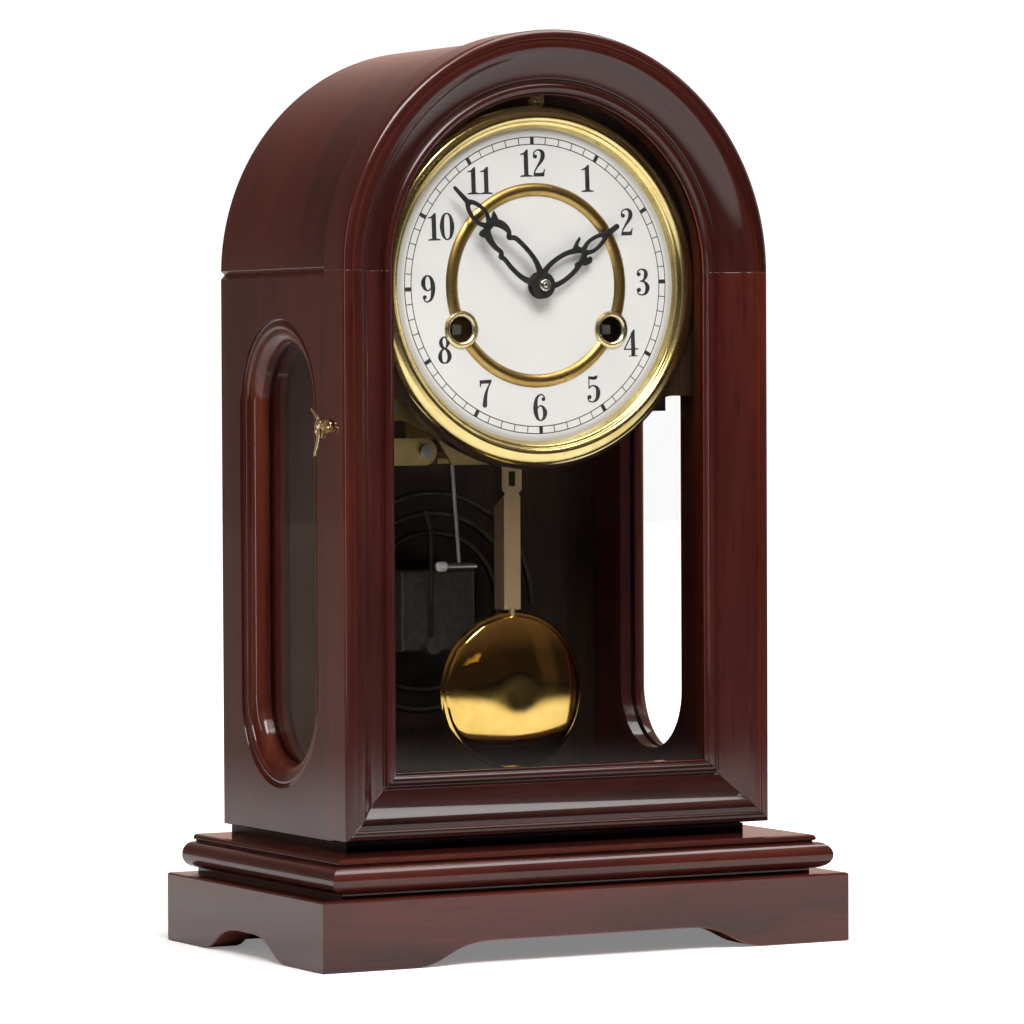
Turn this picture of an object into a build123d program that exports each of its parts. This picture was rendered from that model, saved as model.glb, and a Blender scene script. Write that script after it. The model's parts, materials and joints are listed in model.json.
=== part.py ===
from build123d import *
import math
import os

# Arch-topped striking mantel clock. Sizes are in millimetres: X runs to the right, Y to the
# back and Z up. The origin is on the floor, under the middle of the base.

os.makedirs("parts", exist_ok=True)

# Base
base_side_ledge = 12.75
base_front_ledge = 8.6
base_back_ledge = 2.0
base_height = 32.5
rail_thickness = 16.0
rail_edge_radius = 1.0
long_arch_half = 92.0
long_arch_height = 10.7
long_arch_curve = 42.0
side_arch_half = 45.0
side_arch_height = 11.3
side_arch_curve = 38.0

# Plinth moulding
plinth_side_ledge = 16.75
plinth_front_ledge = 41.4
plinth_back_inset = 1.5
plinth_height = 18.0
plinth_bulge = 6.0

# Case
case_width = 219.0
case_front = -34.0
case_back = 83.5
panel_thickness = 18.0
arch_centre_z = 317.5
joint_chamfer = 2.0
floor_side_inset = 3.5
floor_front_ledge = 7.5
floor_thickness = 4.0
back_rebate = 6.0
back_panel_thickness = 5.5

# Side windows
window_setback = 55.3
window_centre_z = 186.0
window_height = 220.9
window_width = 82.6
window_inset = 11.6
window_step = 1.2
window_rounding = 8.0
window_rebate = 5.0
window_rebate_depth = 8.0
glass_thickness = 2.5
glass_bead_width = 5.0

# Door
door_overhang = 3.0
door_thickness = 21.5
door_gap = 0.5
door_foot_z = 56.0
door_frame_width = 30.0
door_lip_height = 10.5
door_rebate = 5.0
door_glass_clearance = 0.2

# Hinges and latch
hinge_heights = (112.0, 272.0)
hinge_leaf_height = 30.0
hinge_leaf_reach_in = 15.5
hinge_leaf_thickness = 1.2
hinge_axis_out = 2.7
hinge_axis_setback = 2.0
hinge_barrel_radius = 2.4
hinge_pin_radius = 1.0
hinge_running_gap = 0.03
knuckle_height = 9.8
latch_setback = 9.5
latch_z = 245.0
latch_rosette_radius = 4.6
latch_pivot_setback = 2.8
latch_pivot_z = 247.0
latch_stud_ahead = 7.5
latch_stud_z = 244.8
latch_hook_thickness = 1.2

# Dial
dial_drop = 6.2
dial_setback = 2.0
dial_thickness = 0.6
dial_radius = 76.0
bezel_outer_radius = 85.0
bezel_inner_radius = 73.4
bezel_height = 5.6
ring_inner_radius = 41.8
ring_outer_radius = 48.0
ring_height = 1.5
winding_x = 40.0
winding_drop = 20.7
collet_hole_radius = 6.2
collet_outer_radius = 8.9
collet_height = 1.1
dial_centre_hole_radius = 4.5
dial_board_thickness = 6.0
dial_board_hole_radius = 62.0
dial_board_radius = 86.6
dial_board_drop = 52.3

# Hands, turned clockwise from twelve o'clock
minute_hand_angle = 312.0
hour_hand_angle = 56.0
minute_hand_length = 65.5
hour_hand_length = 51.2
hand_thickness = 0.7
minute_hand_ahead = 6.4
hour_hand_ahead = 3.4

# Movement
front_plate_front = 4.0
back_plate_front = 37.0
plate_thickness = 2.0
plate_half_width = 66.0
plate_rise = 45.7
plate_drop = 84.5
plate_foot_half = 26.0
pillar_radius = 3.5
arbor_radius = 1.0
centre_arbor_radius = 1.5
pivot_gap = 0.03
cannon_radius = 2.2
hour_pipe_radius = 3.4
winding_arbor_radius = 3.0
winding_square = 4.4
winding_square_front = -27.5

# Wheels and pinions
great_teeth, great_pinion_teeth, great_module = 60, 10, 0.75
second_teeth, centre_pinion_teeth, second_module = 54, 9, 0.7
centre_teeth, third_pinion_teeth, centre_module = 80, 8, 0.5
third_teeth, escape_pinion_teeth, third_module = 80, 8, 0.45
cannon_teeth, minute_wheel_teeth, minute_module = 12, 36, 0.5
minute_pinion_teeth, hour_wheel_teeth, hour_module = 10, 40, 0.48
pin_wheel_teeth, fly_pinion_teeth, pin_wheel_module = 54, 8, 0.6
escape_teeth = 42
escape_radius = 14.0
ratchet_teeth = 20
ratchet_radius = 8.0
mainspring_radius = 23.0
mainspring_bore = 8.5
mainspring_core_radius = 5.5
mainspring_front = 18.0
mainspring_back = 35.5

# Pendulum
pendulum_y = -6.0
suspension_drop = 11.3
pendulum_length = 181.0
bob_radius = 38.0
bob_thickness = 14.0
rod_web_width = 8.8
rod_head_width = 10.5
rod_shoulder_drop = 87.0
rod_top_drop = 68.0
rod_flange = 6.5
rod_sheet = 0.8
crutch_drop = 38.0

# Gong and hammer
gong_y = 66.0
gong_x = -6.0
gong_z = 157.0
gong_wire_radius = 1.5
gong_first_radius = 36.0
gong_pitch = 9.6
gong_turns_half = 5
gong_block_left = -30.0
gong_block_width = 40.0
gong_block_bottom = 136.0
gong_block_height = 39.0
gong_block_front = 50.0
gong_rod_x = -16.0
gong_rod_z = 139.0
gong_rod_y = 46.0
gong_rod_top_z = 204.0
hammer_arbor_x = -6.0
hammer_arbor_drop = 64.3
hammer_y = 46.0
hammer_head_x = -0.8
hammer_head_z = 177.0

# Derived places
plinth_length = case_width + 2 * plinth_side_ledge
plinth_front = case_front - plinth_front_ledge
plinth_back = case_back - plinth_back_inset
base_length = plinth_length + 2 * base_side_ledge
base_depth = 2 * max(base_front_ledge - plinth_front, base_back_ledge + plinth_back)
floor_length = case_width - 2 * floor_side_inset
floor_front = case_front - floor_front_ledge
window_centre_y = case_front + window_setback
door_width = case_width + 2 * door_overhang
hinge_leaf_inner_x = case_width / 2 - hinge_leaf_reach_in
hinge_axis_x = case_width / 2 + hinge_axis_out
hinge_axis_y = case_front + hinge_axis_setback
latch_y = case_front + latch_setback
latch_pivot_y = case_front + latch_pivot_setback
latch_stud_y = case_front - latch_stud_ahead
dial_z = arch_centre_z - dial_drop
dial_front = case_front + dial_setback
dial_board_foot_z = dial_z - dial_board_drop
minute_hand_back = dial_front - minute_hand_ahead
hour_hand_back = dial_front - hour_hand_ahead
plate_top_z = dial_z + plate_rise
plate_foot_z = dial_z - plate_drop
suspension_z = dial_z - suspension_drop
bob_z = suspension_z - pendulum_length
rod_shoulder_z = suspension_z - rod_shoulder_drop
rod_top_z = suspension_z - rod_top_drop
crutch_z = suspension_z - crutch_drop
hammer_arbor_z = dial_z - hammer_arbor_drop
half_base_length = base_length / 2
half_base_depth = base_depth / 2
plinth_top_z = base_height + plinth_height
floor_top_z = plinth_top_z + floor_thickness
half_case = case_width / 2
inner_half = half_case - panel_thickness
roof_inner_radius = half_case - panel_thickness
door_back = case_front - door_gap
half_door = door_width / 2
door_opening_radius = half_door - door_frame_width
winding_z = dial_z - winding_drop
dial_back = dial_front + dial_thickness
dial_board_back = dial_back + dial_board_thickness
front_plate_back = front_plate_front + plate_thickness
back_plate_back = back_plate_front + plate_thickness
back_panel_front = case_back - back_panel_thickness


def front_plane(y):
    """Plane at a given y, drawn in X and Z, whose normal points to the front."""
    return Plane.XZ.offset(-y)


def side_plane(x):
    """Plane at a given x, drawn in Y and Z, whose normal points to the right."""
    return Plane.YZ.offset(x)


def hand_plane(y, angle):
    """Front plane centred on the dial, turned clockwise so that its Y axis is the hand."""
    turn = math.radians(angle)
    return Plane(origin=(0, y, dial_z), x_dir=(math.cos(turn), 0, -math.sin(turn)), z_dir=(0, -1, 0))


def mesh_point(a, b, radius_a, radius_b, side):
    """Arbor place at radius_a from point a and radius_b from point b, on one side of the line."""
    span = math.dist(a, b)
    along = (span**2 + radius_a**2 - radius_b**2) / (2 * span)
    across = side * math.sqrt(radius_a**2 - along**2)
    ux, uz = (b[0] - a[0]) / span, (b[1] - a[1]) / span
    return (a[0] + ux * along - uz * across, a[1] + uz * along + ux * across)


def heading(a, b):
    """Direction from point a to point b, in radians."""
    return math.atan2(b[1] - a[1], b[0] - a[0])


def toothed_outline(teeth, module, tooth_share, addendum, dedendum, turn):
    """Corner points of a wheel whose first tooth points along the given turn, in radians."""
    pitch_radius = teeth * module / 2
    tip_radius = pitch_radius + addendum * module
    root_radius = pitch_radius - dedendum * module
    pitch = 2 * math.pi / teeth
    root_half = 0.58 * tooth_share * pitch
    tip_half = 0.28 * tooth_share * pitch
    points = []
    for tooth in range(teeth):
        middle = turn + tooth * pitch
        for radius, angle in ((root_radius, -root_half), (tip_radius, -tip_half),
                              (tip_radius, tip_half), (root_radius, root_half)):
            points.append((radius * math.cos(middle + angle), radius * math.sin(middle + angle)))
    return points


def wheel_points(teeth, module, turn):
    return toothed_outline(teeth, module, 0.42, 0.9, 1.2, turn)


def pinion_points(teeth, module, turn):
    """A pinion with the middle of a tooth space along the given turn."""
    return toothed_outline(teeth, module, 0.34, 0.7, 1.3, turn + math.pi / teeth)


def saw_points(teeth, tip_radius, depth):
    """Corner points of a ratchet or escape wheel with raked teeth."""
    pitch = 2 * math.pi / teeth
    points = []
    for tooth in range(teeth):
        start = tooth * pitch
        for radius, angle in ((tip_radius, start), (tip_radius - depth, start + 0.12 * pitch),
                              (tip_radius - depth, start + 0.7 * pitch)):
            points.append((radius * math.cos(angle), radius * math.sin(angle)))
    return points


def toothed_face(points):
    """Face inside a closed list of corner points."""
    with BuildSketch() as face:
        with BuildLine():
            Polyline(points, close=True)
        make_face()
    return face.sketch


def spoked_disc(place, points, rim_radius, hub_radius, bore_radius, spokes):
    """Face of a wheel with spokes, in X and Z: teeth outside, windows between rim and hub."""
    with BuildSketch() as disc:
        with Locations(place):
            add(toothed_face(points))
            with BuildSketch(mode=Mode.PRIVATE) as windows:
                Circle(rim_radius)
                Circle(hub_radius, mode=Mode.SUBTRACT)
                with PolarLocations(0, spokes):
                    Rectangle(2 * rim_radius, 0.11 * rim_radius + 1.2, align=(Align.MIN, Align.CENTER),
                              mode=Mode.SUBTRACT)
            add(windows.sketch, mode=Mode.SUBTRACT)
            if bore_radius:
                Circle(bore_radius, mode=Mode.SUBTRACT)
    return disc.sketch


def pinion_face(place, points):
    """Solid pinion face at an arbor's place in X and Z."""
    with BuildSketch() as pinion:
        with Locations(place):
            add(toothed_face(points))
    return pinion.sketch


# ---------------------------------------------------------------- base and plinth

def arch_cut(half, height, curve):
    """Cut-out under a rail: a flat top with an ogee at each end."""
    with BuildSketch() as cut:
        with BuildLine():
            left = Bezier((-half, 0), (-half + 0.45 * curve, 0.1 * height),
                          (-half + 0.4 * curve, height), (-half + curve, height))
            right = Bezier((half - curve, height), (half - 0.4 * curve, height),
                           (half - 0.45 * curve, 0.1 * height), (half, 0))
            Line(left @ 1, right @ 0)
            Line(right @ 1, left @ 0)
        make_face()
    return cut.sketch


with BuildPart() as base_long_rails:
    with BuildSketch():
        with BuildLine():
            inner_x = half_base_length - rail_thickness
            inner_y = half_base_depth - rail_thickness
            Polyline((-half_base_length, -half_base_depth), (half_base_length, -half_base_depth),
                     (inner_x, -inner_y), (-inner_x, -inner_y), close=True)
        make_face()
    extrude(amount=base_height)
    outer_top = base_long_rails.edges().filter_by(Axis.X).group_by(Axis.Z)[-1].sort_by(Axis.Y)[0]
    fillet(outer_top, radius=rail_edge_radius)
    with BuildSketch(front_plane(0)):
        add(arch_cut(long_arch_half, long_arch_height, long_arch_curve))
    extrude(amount=base_depth, mode=Mode.SUBTRACT)
    mirror(about=Plane.XZ)
base_long_rails.part.label = "base_long_rails"
export_step(base_long_rails.part, "parts/base_long_rails.step")

with BuildPart() as base_side_rails:
    with BuildSketch():
        with BuildLine():
            Polyline((-half_base_length, -half_base_depth), (-inner_x, -inner_y),
                     (-inner_x, inner_y), (-half_base_length, half_base_depth), close=True)
        make_face()
    extrude(amount=base_height)
    outer_top = base_side_rails.edges().filter_by(Axis.Y).group_by(Axis.Z)[-1].sort_by(Axis.X)[0]
    fillet(outer_top, radius=rail_edge_radius)
    with BuildSketch(side_plane(-base_length)):
        add(arch_cut(side_arch_half, side_arch_height, side_arch_curve))
    extrude(amount=base_length, mode=Mode.SUBTRACT)
    mirror(about=Plane.YZ)
base_side_rails.part.label = "base_side_rails"
export_step(base_side_rails.part, "parts/base_side_rails.step")


def plinth_edge(edge, far):
    """Half section of the plinth: the moulded edge faces away from the far side."""
    out = math.copysign(1.0, edge - far)
    top = plinth_top_z
    with BuildSketch() as section:
        with BuildLine():
            fillet_line = Polyline((far, top), (edge, top), (edge, top - 2.3),
                                   (edge - 1.2 * out, top - 2.9), (edge - 1.2 * out, top - 3.6))
            bulge = ThreePointArc(fillet_line @ 1, (edge + plinth_bulge * out, top - 10.2),
                                  (edge + 2.2 * out, top - 15.0))
            Polyline(bulge @ 1, (edge - 5.0 * out, top - 16.2), (edge - 5.0 * out, base_height),
                     (far, base_height), (far, top))
        make_face()
    return section.sketch


with BuildPart() as plinth_moulding:
    with BuildSketch(side_plane(-base_length)):
        add(plinth_edge(plinth_front, plinth_back))
    extrude(amount=2 * base_length)
    with BuildPart(mode=Mode.PRIVATE) as across:
        with BuildSketch(front_plane(base_depth)):
            add(plinth_edge(-plinth_length / 2, 0))
            add(plinth_edge(plinth_length / 2, 0))
        extrude(amount=2 * base_depth)
    add(across.part, mode=Mode.INTERSECT)
plinth_moulding.part.label = "plinth_moulding"
export_step(plinth_moulding.part, "parts/plinth_moulding.step")

with BuildPart() as case_floor:
    with BuildSketch(Plane.XY.offset(plinth_top_z)):
        with Locations((0, floor_front)):
            Rectangle(floor_length, plinth_back - floor_front, align=(Align.CENTER, Align.MIN))
    extrude(amount=floor_thickness)
case_floor.part.label = "case_floor"
export_step(case_floor.part, "parts/case_floor.step")


# ---------------------------------------------------------------- case

def window_slot(offset_inwards):
    """Round-ended window outline in Y and Z."""
    with BuildSketch() as slot:
        with Locations((window_centre_y, window_centre_z)):
            SlotOverall(window_height - 2 * offset_inwards, window_width - 2 * offset_inwards,
                        rotation=90)
    return slot.sketch


case_depth = case_back - case_front
with BuildPart() as case_left_side:
    with BuildSketch(Plane.XY.offset(floor_top_z)):
        with Locations((-half_case, case_front)):
            Rectangle(panel_thickness, case_depth, align=Align.MIN)
        with Locations((-inner_half, case_back)):
            Rectangle(back_rebate, back_panel_thickness, align=Align.MAX, mode=Mode.SUBTRACT)
    extrude(amount=arch_centre_z - floor_top_z)
    outer_top = case_left_side.edges().filter_by(Axis.Y).group_by(Axis.Z)[-1].sort_by(Axis.X)[0]
    chamfer(outer_top, length=joint_chamfer)
    with BuildSketch(side_plane(-half_case)):
        add(window_slot(window_inset))
    extrude(amount=panel_thickness, mode=Mode.SUBTRACT)
    window_mouth = case_left_side.edges().group_by(Axis.X)[0].filter_by(
        lambda edge: edge.center().Y > case_front + 5 and edge.center().Y < case_back - 5
        and edge.center().Z > floor_top_z + 5 and edge.center().Z < arch_centre_z - 5)
    fillet(window_mouth, radius=window_rounding)
    with BuildSketch(side_plane(-half_case)):
        add(window_slot(0))
    extrude(amount=window_step, mode=Mode.SUBTRACT)
    with BuildSketch(side_plane(-inner_half)):
        add(window_slot(window_inset - window_rebate))
    extrude(amount=-window_rebate_depth, mode=Mode.SUBTRACT)
case_left_side.part.label = "case_left_side"
export_step(case_left_side.part, "parts/case_left_side.step")

with BuildPart() as case_right_side:
    mirror(case_left_side.part, about=Plane.YZ)
    with BuildSketch(front_plane(case_front)):
        with Locations(*[(hinge_leaf_inner_x, z) for z in hinge_heights]):
            Rectangle(half_case, hinge_leaf_height, align=(Align.MIN, Align.CENTER))
    extrude(amount=-hinge_leaf_thickness, mode=Mode.SUBTRACT)
case_right_side.part.label = "case_right_side"
export_step(case_right_side.part, "parts/case_right_side.step")

with BuildPart() as case_roof:
    with BuildSketch(front_plane(case_back)):
        with Locations((0, arch_centre_z)):
            Circle(half_case)
            Circle(roof_inner_radius, mode=Mode.SUBTRACT)
            Rectangle(2 * case_width, case_width, align=(Align.CENTER, Align.MAX), mode=Mode.SUBTRACT)
    extrude(amount=case_depth)
    outer_ends = case_roof.edges().filter_by(Axis.Y).group_by(Axis.Z)[0].group_by(
        SortBy.DISTANCE)[-1]
    chamfer(outer_ends, length=joint_chamfer)
    with BuildSketch(front_plane(case_back)):
        with Locations((0, arch_centre_z)):
            Circle(roof_inner_radius + back_rebate)
    extrude(amount=back_panel_thickness, mode=Mode.SUBTRACT)
case_roof.part.label = "case_roof"
export_step(case_roof.part, "parts/case_roof.step")

with BuildPart() as case_back_panel:
    back_half = inner_half + back_rebate
    with BuildSketch(front_plane(case_back)):
        with Locations((0, arch_centre_z)):
            Circle(back_half)
            Rectangle(2 * back_half, arch_centre_z - floor_top_z, align=(Align.CENTER, Align.MAX))
    extrude(amount=back_panel_thickness)
case_back_panel.part.label = "case_back_panel"
export_step(case_back_panel.part, "parts/case_back_panel.step")

screw_inset = back_rebate / 2
back_screw_places = [(side * (back_half - screw_inset), z) for side in (-1, 1) for z in (75, 190, 300)]
back_screw_places += [((back_half - screw_inset) * math.cos(math.radians(angle)),
                       arch_centre_z + (back_half - screw_inset) * math.sin(math.radians(angle)))
                      for angle in (45, 90, 135)]
strap_screw_x = 40.8
strap_screw_z = plate_foot_z + 6.4
seat_screw_x = 58.0
seat_screw_z = plate_foot_z + 27.2
with BuildPart() as case_screws:
    with BuildSketch(front_plane(case_back)):
        with Locations(*back_screw_places):
            Circle(2.4)
    extrude(amount=1.0)
    with BuildSketch(front_plane(case_back)):
        with Locations(*back_screw_places):
            Circle(1.2)
    extrude(amount=14.0)
    seat_places = [(-strap_screw_x, strap_screw_z), (-seat_screw_x, seat_screw_z),
                   (seat_screw_x, seat_screw_z)]
    with BuildSketch(front_plane(front_plate_front)):
        with Locations(*seat_places):
            Circle(3.2)
    extrude(amount=1.6)
    with BuildSketch(front_plane(front_plate_front)):
        with Locations(*seat_places):
            Circle(1.3)
    extrude(amount=-14.0)
case_screws.part.label = "case_screws"
export_step(case_screws.part, "parts/case_screws.step")

for node, plane_x, depth, outer, inner in (
        ("side_glasses", -half_case + panel_thickness - window_rebate_depth, glass_thickness,
         window_rebate - door_glass_clearance, None),
        ("side_glass_beads", -half_case + panel_thickness - window_rebate_depth + glass_thickness,
         window_rebate_depth - glass_thickness, window_rebate - door_glass_clearance,
         window_rebate - glass_bead_width)):
    with BuildPart() as window_piece:
        with BuildSketch(side_plane(plane_x)):
            add(window_slot(window_inset - outer))
            if inner is not None:
                add(window_slot(window_inset - inner), mode=Mode.SUBTRACT)
        extrude(amount=depth)
        mirror(about=Plane.YZ)
    window_piece.part.label = node
    export_step(window_piece.part, f"parts/{node}.step")


# ---------------------------------------------------------------- door

def door_profile():
    """Section of the door frame: U runs inwards from the outer edge, V forwards from the back."""
    with BuildSketch() as section:
        with BuildLine():
            start = Line((0, 0), (0, door_thickness - 2.5))
            nose = ThreePointArc(start @ 1, (0.8, door_thickness - 0.7), (2.6, door_thickness))
            step = Polyline(nose @ 1, (4.2, door_thickness), (4.2, door_thickness - 1.2),
                            (5.2, door_thickness - 1.2))
            ovolo = ThreePointArc(step @ 1, (8.0, door_thickness - 1.0), (11.0, door_thickness - 2.6))
            cove = ThreePointArc(ovolo @ 1, (16.0, door_thickness - 6.4), (22.6, door_thickness - 8.6))
            quirk = Polyline(cove @ 1, (23.4, door_thickness - 9.6), (24.2, door_thickness - 9.6))
            bead = ThreePointArc(quirk @ 1, (26.4, door_thickness - 7.4), (28.6, door_thickness - 9.6))
            Polyline(bead @ 1, (door_frame_width, door_thickness - 9.6),
                     (door_frame_width, door_lip_height), (door_frame_width - door_rebate, door_lip_height),
                     (door_frame_width - door_rebate, 0), (0, 0))
        make_face()
    return section.sketch


stile_height = arch_centre_z - door_foot_z
mitre_reach = 2 * door_frame_width
with BuildPart() as door_left_stile:
    with BuildSketch(Plane(origin=(-half_door, door_back, arch_centre_z), x_dir=(1, 0, 0),
                           z_dir=(0, 0, -1))):
        add(door_profile())
    extrude(amount=stile_height)
    with BuildSketch(front_plane(0)):
        with BuildLine():
            Polyline((-half_door, door_foot_z), (-half_door + mitre_reach, door_foot_z + mitre_reach),
                     (-half_door + mitre_reach, door_foot_z), close=True)
        make_face()
    extrude(amount=base_depth, mode=Mode.SUBTRACT)
door_left_stile.part.label = "door_left_stile"
export_step(door_left_stile.part, "parts/door_left_stile.step")

with BuildPart() as door_right_stile:
    mirror(door_left_stile.part, about=Plane.YZ)
    with BuildSketch(front_plane(door_back)):
        with Locations(*[(hinge_leaf_inner_x, z) for z in hinge_heights]):
            Rectangle(half_door, hinge_leaf_height, align=(Align.MIN, Align.CENTER))
    extrude(amount=hinge_leaf_thickness, mode=Mode.SUBTRACT)
door_right_stile.part.label = "door_right_stile"
export_step(door_right_stile.part, "parts/door_right_stile.step")

with BuildPart() as door_arch:
    with BuildSketch(Plane(origin=(half_door, door_back, arch_centre_z), x_dir=(-1, 0, 0),
                           z_dir=(0, 0, 1))):
        add(door_profile())
    revolve(axis=Axis((0, 0, arch_centre_z), (0, -1, 0)), revolution_arc=180)
door_arch.part.label = "door_arch"
export_step(door_arch.part, "parts/door_arch.step")

with BuildPart() as door_bottom_rail:
    with BuildSketch(Plane(origin=(-half_door, door_back, door_foot_z), x_dir=(0, 0, 1),
                           z_dir=(1, 0, 0))):
        add(door_profile())
    extrude(amount=door_width)
    with BuildSketch(front_plane(0)):
        for side in (-1, 1):
            with BuildLine():
                Polyline((side * half_door, door_foot_z),
                         (side * (half_door - mitre_reach), door_foot_z + mitre_reach),
                         (side * half_door, door_foot_z + mitre_reach), close=True)
            make_face()
    extrude(amount=base_depth, mode=Mode.SUBTRACT)
door_bottom_rail.part.label = "door_bottom_rail"
export_step(door_bottom_rail.part, "parts/door_bottom_rail.step")


def door_window(grow):
    """Arch-topped outline of the door opening, grown by a distance."""
    half = door_opening_radius + grow
    foot = door_foot_z + door_frame_width - grow
    with BuildSketch() as outline:
        with Locations((0, arch_centre_z)):
            Circle(half)
            Rectangle(2 * half, arch_centre_z - foot, align=(Align.CENTER, Align.MAX))
    return outline.sketch


door_glass_front = door_back - door_lip_height
door_glass_back = door_glass_front + glass_thickness
with BuildPart() as door_glass:
    with BuildSketch(front_plane(door_glass_back)):
        add(door_window(door_rebate - door_glass_clearance))
    extrude(amount=glass_thickness)
door_glass.part.label = "door_glass"
export_step(door_glass.part, "parts/door_glass.step")

with BuildPart() as door_glass_bead:
    with BuildSketch(front_plane(door_back - 2.0)):
        add(door_window(door_rebate))
        add(door_window(0.2), mode=Mode.SUBTRACT)
    extrude(amount=door_back - 2.0 - door_glass_back)
door_glass_bead.part.label = "door_glass_bead"
export_step(door_glass_bead.part, "parts/door_glass_bead.step")


# ---------------------------------------------------------------- hinges and latch

knuckle_offset = (hinge_leaf_height - knuckle_height) / 2
leaf_reach = hinge_axis_x - hinge_leaf_inner_x
notch_x = half_case + 0.2

with BuildPart() as hinge_case_leaves:
    with BuildSketch(front_plane(case_front)):
        for z in hinge_heights:
            with Locations((hinge_leaf_inner_x, z)):
                Rectangle(leaf_reach, hinge_leaf_height, align=(Align.MIN, Align.CENTER))
            with Locations((notch_x, z)):
                Rectangle(leaf_reach, knuckle_height + 0.2, align=(Align.MIN, Align.CENTER),
                          mode=Mode.SUBTRACT)
    extrude(amount=-hinge_leaf_thickness)
    for z in hinge_heights:
        for side in (-1, 1):
            with BuildSketch(Plane.XY.offset(z + side * knuckle_offset - knuckle_height / 2)):
                with Locations((hinge_axis_x, hinge_axis_y)):
                    Circle(hinge_barrel_radius)
            extrude(amount=knuckle_height)
        with BuildSketch(Plane.XY.offset(z - hinge_leaf_height / 2 - 1.0)):
            with Locations((hinge_axis_x, hinge_axis_y)):
                Circle(hinge_pin_radius)
        extrude(amount=hinge_leaf_height + 2.0)
hinge_case_leaves.part.label = "hinge_case_leaves"
export_step(hinge_case_leaves.part, "parts/hinge_case_leaves.step")

with BuildPart() as hinge_door_leaves:
    with BuildSketch(front_plane(door_back)):
        with Locations(*[(hinge_leaf_inner_x, z) for z in hinge_heights]):
            Rectangle(leaf_reach, hinge_leaf_height, align=(Align.MIN, Align.CENTER))
    extrude(amount=hinge_leaf_thickness)
    for z in hinge_heights:
        with BuildSketch(Plane.XY.offset(z - knuckle_height / 2)):
            with Locations((hinge_axis_x, door_back)):
                Rectangle(hinge_barrel_radius, hinge_axis_y - door_back, align=(Align.MAX, Align.MIN))
            with Locations((hinge_axis_x, hinge_axis_y)):
                Circle(hinge_barrel_radius)
                Circle(hinge_pin_radius + hinge_running_gap, mode=Mode.SUBTRACT)
        extrude(amount=knuckle_height)
hinge_door_leaves.part.label = "hinge_door_leaves"
export_step(hinge_door_leaves.part, "parts/hinge_door_leaves.step")

rosette_thickness = 1.0
latch_post_radius = 1.3
hook_inner_x = -half_door - 0.6
hook_outer_x = hook_inner_x - latch_hook_thickness
with BuildPart() as latch_rosette:
    with BuildSketch(side_plane(-half_case)):
        with Locations((latch_y, latch_z)):
            Circle(latch_rosette_radius)
            with PolarLocations(latch_rosette_radius * 0.58, 6):
                Circle(0.75, mode=Mode.SUBTRACT)
        with BuildSketch(mode=Mode.PRIVATE) as lug:
            with Locations((latch_y - 2.8, latch_z + 1.0)):
                Circle(1.6)
            with Locations((latch_pivot_y, latch_pivot_z)):
                Circle(2.2)
            make_hull()
        add(lug.sketch)
    extrude(amount=-rosette_thickness)
    with BuildSketch(side_plane(-half_case)):
        with Locations((latch_pivot_y, latch_pivot_z)):
            Circle(latch_post_radius)
    extrude(amount=hook_outer_x + half_case)
    with BuildSketch(side_plane(hook_outer_x)):
        with Locations((latch_pivot_y, latch_pivot_z)):
            Circle(2.1)
    extrude(amount=-1.0)
latch_rosette.part.label = "latch_rosette"
export_step(latch_rosette.part, "parts/latch_rosette.step")

latch_stud_radius = 1.2
latch_arm_foot = latch_stud_z + latch_stud_radius + 0.15
latch_arm_height = 2.2
latch_arm_reach = latch_pivot_y - latch_stud_y + 2.0
with BuildPart() as latch_hook:
    with BuildSketch(side_plane(hook_inner_x)):
        with Locations((latch_pivot_y, latch_pivot_z)):
            Circle(2.8)
        with Locations((latch_pivot_y, latch_arm_foot)):
            Rectangle(latch_arm_reach, latch_arm_height, align=(Align.MAX, Align.MIN))
        with Locations((latch_stud_y - 2.0, latch_arm_foot + 1.5)):
            Circle(1.5)
        with BuildLine(mode=Mode.PRIVATE) as tails:
            lower = ThreePointArc((latch_pivot_y, latch_pivot_z - 1.0),
                                  (latch_pivot_y + 1.2, latch_pivot_z - 7.0),
                                  (latch_pivot_y + 5.0, latch_pivot_z - 13.5))
            upper = ThreePointArc((latch_pivot_y, latch_pivot_z + 1.0),
                                  (latch_pivot_y + 3.0, latch_pivot_z + 4.0),
                                  (latch_pivot_y + 8.0, latch_pivot_z + 6.0))
        SlotArc(lower, 2.3)
        SlotArc(upper, 1.5)
        with Locations((latch_pivot_y, latch_pivot_z)):
            Circle(latch_post_radius + pivot_gap, mode=Mode.SUBTRACT)
    extrude(amount=-latch_hook_thickness)
latch_hook.part.label = "latch_hook"
export_step(latch_hook.part, "parts/latch_hook.step")

with BuildPart() as latch_stud:
    with BuildSketch(side_plane(-half_door)):
        with Locations((latch_stud_y, latch_stud_z)):
            Circle(latch_stud_radius)
    extrude(amount=hook_outer_x - 0.2 + half_door)
    with BuildSketch(side_plane(hook_outer_x - 0.2)):
        with Locations((latch_stud_y, latch_stud_z)):
            Circle(1.9)
    extrude(amount=-0.9)
latch_stud.part.label = "latch_stud"
export_step(latch_stud.part, "parts/latch_stud.step")


# ---------------------------------------------------------------- dial

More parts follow.
